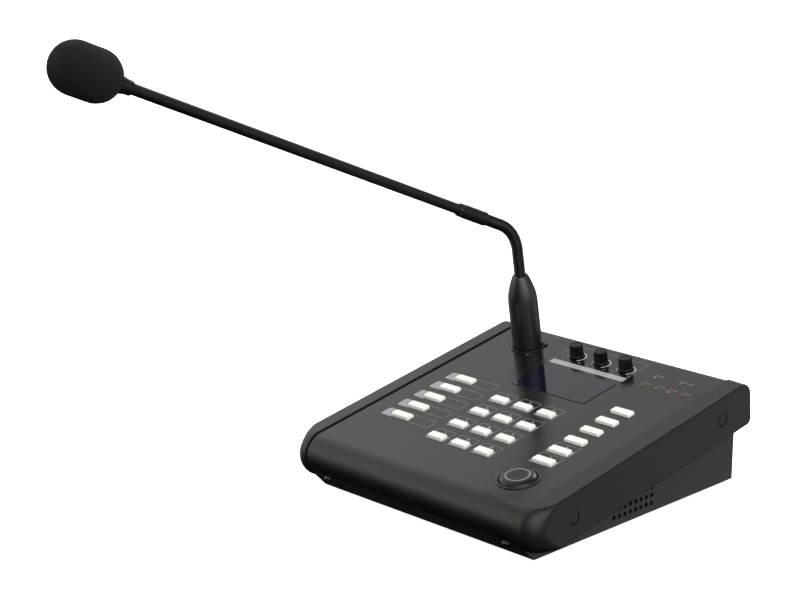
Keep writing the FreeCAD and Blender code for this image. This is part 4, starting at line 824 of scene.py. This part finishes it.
make("panel_numerals", v, f, M["print_white"], place=PANEL, smooth=20)
v, f = join(greys)
make("indicator_numerals", v, f, M["ear"], place=PANEL, smooth=20)
v, f = join(darks)
make("zone_numerals", v, f, M["dark"], place=PANEL, smooth=20)

# ------------------------------------------------------------------ display window
v, f = prism(rect(-30.0, 30.0, -16.0, 16.0, 0.4), -1.55, 0.35)
make("display_pane", v, f, M["window"], place=at(*GLASS), smooth=30, stands_for=("display_window",), bevel=(0.12, 2, 50))

# ------------------------------------------------------------------ talk button and bezel
prof = rounded([(11.95, -3.0, 0), (12.7, -3.0, 0), (12.7, 0.0, 0), (13.5, 0.0, 0), (13.45, 0.6, 0.35), (12.15, 0.7, 0.2), (11.95, 0.3, 0.1)], 8)
v, f = closed_lathe(prof, 120)
make("talk_bezel_ring", v, f, M["bezel"], place=at(*TALK), smooth=35, stands_for=("talk_bezel",))
prof = rounded([(0, 2.48, 0), (7.8, 2.56, 0.6), (8.25, 2.6, 0.12), (8.42, 2.28, 0.1), (9.3, 2.2, 0.9), (11.0, 1.35, 1.2), (11.58, 0.2, 0.6), (11.62, -0.6, 0.3), (11.62, -3.2, 0), (13.1, -3.2, 0), (13.1, -4.0, 0),
                (10.2, -4.0, 0), (10.2, 0.7, 0), (2.0, 0.7, 0), (2.0, -3.6, 0), (0, -3.6, 0)], 8, closed=False)
v, f = lathe(prof, 120)
make("talk_cap", v, f, M["talk"], body="talk", place=at(*TALK), smooth=35, stands_for=("talk_button",))
v, f = ring_prism(arc(0, 0, 7.68, 0, 357.5, 143), arc(0, 0, 6.75, 0, 357.5, 143), 2.5, 2.59)
make("talk_ring_print", v, f, M["ear"], body="talk", place=at(*TALK), smooth=20)

# ------------------------------------------------------------------ volume knobs
FL = 20


def flute(r, z, a):
    if r < 3.3 or z < 1.75 or z > 8.75:
        return r
    c = 0.5 + 0.5 * math.cos(FL * a)
    return r - 0.42 * (1 - c ** 0.45) * min(1.0, (z - 1.75) / 0.3)


for name, x, s in knobs:
    prof = rounded([(0, 6.9, 0), (2.0, 6.9, 0), (2.0, 0.5, 0), (5.0, 0.5, 0.2), (5.02, 1.15, 0.3), (4.6, 1.5, 0.2), (4.46, 1.7, 0), (4.45, 2.1, 0), (4.44, 3.0, 0), (4.38, 8.3, 0), (4.32, 8.62, 0),
                    (4.1, 8.9, 0.2), (3.5, 8.92, 0), (3.3, 8.78, 0), (0, 8.78, 0)], 6, closed=False)
    v, f = lathe(prof, 160, flute)
    ob = make("volume_knob_" + name + "_grip", v, f, M["knob"], body=None, place=at(x, s), smooth=24)
    carve(ob, [cutter("pointer", prism(rect(-0.3, 0.3, 1.9, 4.4), 8.45, 10), at(x, s))], smooth=24)
    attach(ob, "knob_" + name)
    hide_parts("volume_knob_" + name)

# ------------------------------------------------------------------ indicator lenses
for i, (x, s, colour) in enumerate(leds):
    prof = [(0, -5.6), (1.9, -5.6), (1.9, -4.6), (1.5, -4.6), (1.5, -0.3)] + arc(0, -0.3, 1.5, 0, 90, 14)[1:-1]
    prof = [(r, z if z <= -0.3 else -0.3 + (z + 0.3) * 0.93) for r, z in prof] + [(0, 1.1)]
    v, f = lathe(prof, 40)
    ob = make("indicator_%d" % (i + 1), v, f, M["led_" + colour], place=at(x, s), smooth=40)
    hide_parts("status_leds")

# ------------------------------------------------------------------ microphone socket and plug
prof = rounded([(9.8, 0.0, 0), (11.15, 0.0, 0), (11.15, 1.1, 0.45), (9.8, 1.1, 0.3)], 8)
v, f = closed_lathe(prof, 120)
ob = make("socket_collar", v, f, M["ring"], body=None, place=at(*MIC), smooth=35)
dx, ds = TAB[0] - MIC[0], TAB[1] - MIC[1]
carve(ob, [cutter("tab_gap", prism(rect(dx - 2.6, dx + 2.6, ds - 2.6, ds + 2.6), -2, 3), at(*MIC))], smooth=35)
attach(ob, "console")
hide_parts("mic_socket_ring")

d0 = math.hypot(dx, ds)
ux, uy = dx / d0, ds / d0
near, far, wing = 10.75 - d0, 0.4, 1.8
tab_poly = rounded([(ux * near - uy * wing, uy * near + ux * wing, 0.3), (ux * near + uy * wing, uy * near - ux * wing, 0.3),
                    (ux * far + uy * wing * 0.55, uy * far - ux * wing * 0.55, 0.4), (ux * far - uy * wing * 0.55, uy * far + ux * wing * 0.55, 0.4)], 5)
v, f = prism(tab_poly, -5.0, 1.25)
make("release_tab_cap", v, f, M["socket"], body="release_tab", place=at(*TAB), smooth=30, stands_for=("mic_release_tab",), bevel=(0.25, 3, 50))

MICP = at(MIC[0], MIC[1], 0, -7.8)
ogive = [(9.74, 1.75), (9.76, 30.0), (9.74, 33.0), (9.65, 35.0), (9.48, 36.8), (9.24, 38.4), (8.94, 40.0), (8.5, 41.6), (8.08, 43.2), (7.6, 44.8), (7.08, 46.3), (6.5, 47.9),
         (5.95, 49.3), (5.4, 50.5), (5.05, 51.15), (4.8, 51.45), (4.45, 51.6), (4.15, 51.58), (4.0, 51.4), (3.93, 50.9), (3.92, 40.0), (0, 40.0)]
prof = [(0, 1.3), (8.15, 1.3), (8.15, -12.0), (9.4, -12.0), (9.4, 1.1), (9.55, 1.3), (9.7, 1.5)] + ogive
v, f = lathe(prof, 128)
make("plug_shell", v, f, M["plug"], body="plug", place=MICP, smooth=38, stands_for=("mic_plug",))
pins = []
for a in (97.8, 217.8, 337.8):
    c, s_ = 4.2 * math.cos(math.radians(a)), 4.2 * math.sin(math.radians(a))
    pv, pf = lathe([(0, -10.5), (0.7, -10.3), (1.2, -9.6), (1.2, 1.3), (0, 1.3)], 24)
    pins.append(shift((pv, pf), c, s_))
v, f = join(pins)
make("plug_pins", v, f, M["steel"], body="plug", place=MICP, smooth=40)

# ------------------------------------------------------------------ gooseneck: one wound tube across both hinges
BR, B0, AB = 25.6, 69.0, math.radians(56.64)
PITCH = 1.72


def path(l):
    """Point and direction at length l above the panel, in the plane x = 0."""
    if l <= B0:
        return Vector((0, 0, l)), Vector((0, 0, 1))
    a = (l - B0) / BR
    if a <= AB:
        return Vector((0, -BR + BR * math.cos(a), B0 + BR * math.sin(a))), Vector((0, -math.sin(a), math.cos(a)))
    e, d = Vector((0, -BR + BR * math.cos(AB), B0 + BR * math.sin(AB))), Vector((0, -math.sin(AB), math.cos(AB)))
    return e + d * (l - B0 - BR * AB), d


L_BEND = B0 + BR * AB
L0, L1 = 43.0, L_BEND + 14.1 + 3.0
segs = 40
step = PITCH / 14
count = int((L1 - L0) / step)
verts, faces = [], []
for i in range(count + 1):
    l = L0 + (L1 - L0) * i / count
    p, d = path(l)
    side = Vector((1, 0, 0))
    out = d.cross(side)
    for k in range(segs):
        a = 2 * math.pi * k / segs
        ph = (l / PITCH + k / segs) % 1.0
        # round wire with a narrow filler wire between its turns
        if ph < 0.68:
            u = (ph / 0.68) * 2 - 1
            r = 3.18 + 0.66 * math.sqrt(max(0.0, 1 - u * u * 0.96))
        else:
            u = ((ph - 0.68) / 0.32) * 2 - 1
            r = 3.18 + 0.22 * (1 - abs(u))
        q = p + side * (r * math.cos(a)) + out * (r * math.sin(a))
        verts.append(tuple(q))
for i in range(count):
    for k in range(segs):
        k2 = (k + 1) % segs
        faces.append((i * segs + k, i * segs + k2, (i + 1) * segs + k2, (i + 1) * segs + k))
faces.append(tuple(reversed(range(segs))))
faces.append(tuple(count * segs + k for k in range(segs)))
flex = make("gooseneck_coil", verts, faces, M["flex"], body=None, place=MICP, smooth=60)
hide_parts("gooseneck_lower", "gooseneck_upper")
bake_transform(flex)

# ------------------------------------------------------------------ rigid tube, collar and head
e2, d2 = path(L_BEND)
rot = Vector((0, 0, 1)).rotation_difference(d2).to_matrix().to_4x4()
ARM = MICP @ Matrix.Translation(e2) @ rot
COL0, COL1 = 14.1, 39.1
HEAD0 = COL1 + 254.6
prof = rounded([(3.9, COL0, 0), (4.08, COL0, 0), (4.52, COL0 + 0.8, 0.5), (4.52, COL1 - 6.1, 0.1), (4.18, COL1 - 5.85, 0.05), (4.18, COL1 - 5.35, 0.05), (4.42, COL1 - 5.1, 0.1), (4.26, COL1 - 1.3, 0.5),
                (3.66, COL1, 0.15), (3.38, COL1, 0), (3.38, COL0 + 6.0, 0), (3.9, COL0 + 6.0, 0)], 6)
v, f = closed_lathe(prof, 96)
make("arm_collar", v, f, M["collar"], body="arm", place=ARM, smooth=30, stands_for=("tube_collar",))
tube = []
for i in range(2):
    tube.append((3.37, COL0 + 6.0 + (HEAD0 - COL0) * i))
prof = [(2.6, COL0 + 6.0), (3.37, COL0 + 6.0)] + [(3.37, COL0 + 6.0 + (HEAD0 + 0.0 - COL0) * i / 60) for i in range(1, 61)] + [(2.6, HEAD0 + 6.0)]
v, f = closed_lathe(prof, 64)
make("arm_tube", v, f, M["tube"], body="arm", place=ARM, smooth=30, stands_for=("mic_tube",))
FOAM0 = HEAD0 + 8.2
C2 = FOAM0 + 15.5
prof = rounded([(3.38, HEAD0, 0), (4.0, HEAD0, 0.15), (4.45, HEAD0 + 0.5, 0.2), (4.42, HEAD0 + 3.4, 0.5), (5.15, HEAD0 + 6.3, 0.5), (5.35, HEAD0 + 9.0, 1.0), (6.35, HEAD0 + 14.0, 0.5), (6.35, C2 + 16.0, 0.5),
                (5.8, C2 + 18.0, 0.5), (0, C2 + 18.0, 0), (0, C2 + 2.0, 0), (3.38, C2 + 2.0, 0)], 6, closed=False)
v, f = lathe(prof + [prof[0]], 96)
make("head_ferrule", v, f, M["head"], body="arm", place=ARM, smooth=30, stands_for=("capsule_housing",))

# ------------------------------------------------------------------ foam windscreen
FR, FB = 15.5, 13.4
prof = []
a0 = math.degrees(math.asin(5.6 / FR))
for i in range(49):
    a = a0 + (90 - a0) * i / 48
    prof.append((FR * math.sin(math.radians(a)), C2 - FR * math.cos(math.radians(a))))
for i in range(1, 24):
    prof.append((FR, C2 + FB * i / 24))
for i in range(73):
    a = 90 * i / 72
    prof.append((FR * math.cos(math.radians(a)), C2 + FB + FR * math.sin(math.radians(a))))
prof[-1] = (0, C2 + FB + FR)
inner = [(0, C2 + 18.1), (6.5, C2 + 18.1), (6.5, HEAD0 + 14.0)]
v, f = lathe(prof + inner + [prof[0]], 160)
sv = []
for x, y, z in v:
    r = math.hypot(x, y)
    if z > C2 + 18.3 or r > 6.9:
        c = Vector((0, 0, min(max(z, C2), C2 + FB)))
        d = Vector((x, y, z)) - c
        if d.length > 1e-6:
            d.normalize()
            q = Vector((x, y, z))
            k = 0.16 * noise.fractal(q * 0.9, 1.0, 2.0, 3) + 0.10 * noise.noise(q * 3.1) - 0.12
            q = q + d * k
            x, y, z = q
    sv.append((x, y, z))
foam = make("foam_windscreen", sv, f, M["foam"], body="arm", place=ARM, smooth=50, stands_for=("windscreen",))

# ------------------------------------------------------------------ pieces carried over from the frame
carry = {
    "bottom_chassis": "chassis", "cover_screws": "screw", "rubber_feet": "foot", "lcd_module": "lcd",
    "main_board": "board", "key_board": "board", "key_switches": "switch", "volume_pots": "switch", "mic_socket": "socket", "mic_socket_plate": "chassis",
    "board_standoffs": "brass", "board_screws": "steel", "network_jack": "jack", "board_ribbon": "ribbon",
    "pot_shaft_left": "shaft", "pot_shaft_middle": "shaft", "pot_shaft_right": "shaft"}
for node, mat in carry.items():
    ob = NODES[node]
    ob.data.materials.clear()
    ob.data.materials.append(M[mat])
add_bevel(NODES["bottom_chassis"], 0.25, 2, 60)

# gold contacts in the network jack
gold = []
for i in range(8):
    x = 34.0 + (i - 3.5) * 1.02
    k = [(84.0, 22.6), (90.5, 22.4), (90.8, 22.1), (84.0, 20.2), (83.8, 20.5)]
    gold.append(extrude_x([(a, b) for a, b in k], x - 0.2, x + 0.2))
v, f = join(gold)
make("jack_contacts", v, f, M["gold"], smooth=20)

# ------------------------------------------------------------------ floor and light
floor_mat, nt, b = node_tree("floor")
b.inputs["Base Color"].default_value = (0.92, 0.92, 0.92, 1)
b.inputs["Roughness"].default_value = 0.9
b.inputs["Specular IOR Level"].default_value = 0.1
b.inputs["Emission Color"].default_value = (1, 1, 1, 1)
b.inputs["Emission Strength"].default_value = 0.9
me = bpy.data.meshes.new("floor")
S = 8.0
me.from_pydata([(-S, -S, -0.0002), (S, -S, -0.0002), (S, S, -0.0002), (-S, S, -0.0002)], [], [(0, 1, 2, 3)])
floor = bpy.data.objects.new("floor", me)
me.materials.append(floor_mat)
scene.collection.objects.link(floor)
floor.visible_glossy = False
floor.visible_diffuse = False

# soft white lamps all round: direction from the object, brightness at the middle; each fades out over about 30 degrees,
# or as its third number says
LAMPS = [((0.040, -0.461, 0.886), 0.026), ((-0.597, -0.106, 0.795), 0.351), ((0.558, -0.355, 0.750), 0.692), ((-0.761, 0.314, 0.568), 0.940),
         ((0.361, -0.772, 0.523), 0.073), ((-0.780, -0.452, 0.432), 0.900), ((0.901, -0.198, 0.386), 1.294), ((-0.541, 0.769, 0.341), 0.169),
         ((0.700, -0.696, 0.159), 0.221), ((-0.660, -0.700, 0.200), 0.700, 16.0), ((0.991, 0.133, 0.023), 0.225), ((0.494, 0.862, -0.114), 0.496),
         ((-0.941, -0.300, -0.159), 0.055), ((-0.950, 0.100, -0.150), 0.55, 20.0), ((0.450, -0.620, 0.620), 0.80, 14.0), ((-0.200, 0.790, 0.580), 4.4, 90.0),
         ((-0.500, 0.830, 0.250), 0.35, 50.0)]
world = bpy.data.worlds.new("studio")
scene.world = world
world.use_nodes = True
nt = world.node_tree
bg = nt.nodes["Background"]
bg.inputs["Color"].default_value = (1, 1, 1, 1)


def maths(op, a, b=None, c=None):
    n = nt.nodes.new("ShaderNodeMath")
    n.operation = op
    for i, v in enumerate((a, b, c)):
        if v is None:
            continue
        if isinstance(v, (int, float)):
            n.inputs[i].default_value = v
        else:
            nt.links.new(v, n.inputs[i])
    return n.outputs[0]


look = nt.nodes.new("ShaderNodeVectorMath")
look.operation = "NORMALIZE"
nt.links.new(nt.nodes.new("ShaderNodeTexCoord").outputs["Generated"], look.inputs[0])
glow = 0.0
for towards, bright, fall in [(*lamp, 9.5)[:3] for lamp in LAMPS]:
    n = nt.nodes.new("ShaderNodeVectorMath")
    n.operation = "DOT_PRODUCT"
    nt.links.new(look.outputs[0], n.inputs[0])
    n.inputs[1].default_value = Vector(towards).normalized()
    glow = maths("MULTIPLY_ADD", maths("EXPONENT", maths("MULTIPLY_ADD", n.outputs["Value"], fall, -fall)), bright, glow)
nt.links.new(glow, bg.inputs["Strength"])


def softbox(name, towards, distance, sx, sy, radiance, target=(0, 0, 0.05)):
    """Area light whose centre lies in a direction from the object, facing it. radiance is its brightness as seen."""
    d = Vector(towards).normalized()
    lt = bpy.data.lights.new(name, "AREA")
    lt.shape = "RECTANGLE"
    lt.size, lt.size_y = sx, sy
    lt.energy = radiance * math.pi * sx * sy
    ob = bpy.data.objects.new(name, lt)
    scene.collection.objects.link(ob)
    ob.location = Vector(target) + d * distance
    ob.rotation_mode = "QUATERNION"
    ob.rotation_quaternion = d.to_track_quat("Z", "Y")
    return ob


def diffuse_only(ob):
    ob.visible_glossy = False
    return ob


diffuse_only(softbox("fill_top", (0.35, -0.45, 1), 2.6, 2.0, 2.0, 1.440))
diffuse_only(softbox("fill_above", (0, 0, 1), 2.6, 2.0, 2.0, 0.382))
diffuse_only(softbox("fill_front_right", (0.85, -0.42, 0.45), 2.6, 2.0, 2.0, 0.860))
diffuse_only(softbox("fill_right", (1, 0.2, 0.3), 2.6, 2.0, 2.0, 1.673))
diffuse_only(softbox("fill_front_left", (-0.6, -0.8, 0.4), 2.6, 2.0, 2.0, 0.110))
diffuse_only(softbox("fill_back_left", (-0.6, 0.6, 0.6), 2.6, 2.0, 2.0, 1.306))
diffuse_only(softbox("fill_back_right", (0.6, 0.7, 0.5), 2.6, 2.0, 2.0, 0.899))

scene.view_settings.view_transform = "Standard"
scene.view_settings.look = "None"
scene.view_settings.exposure = 0.0
scene.view_settings.gamma = 1.0
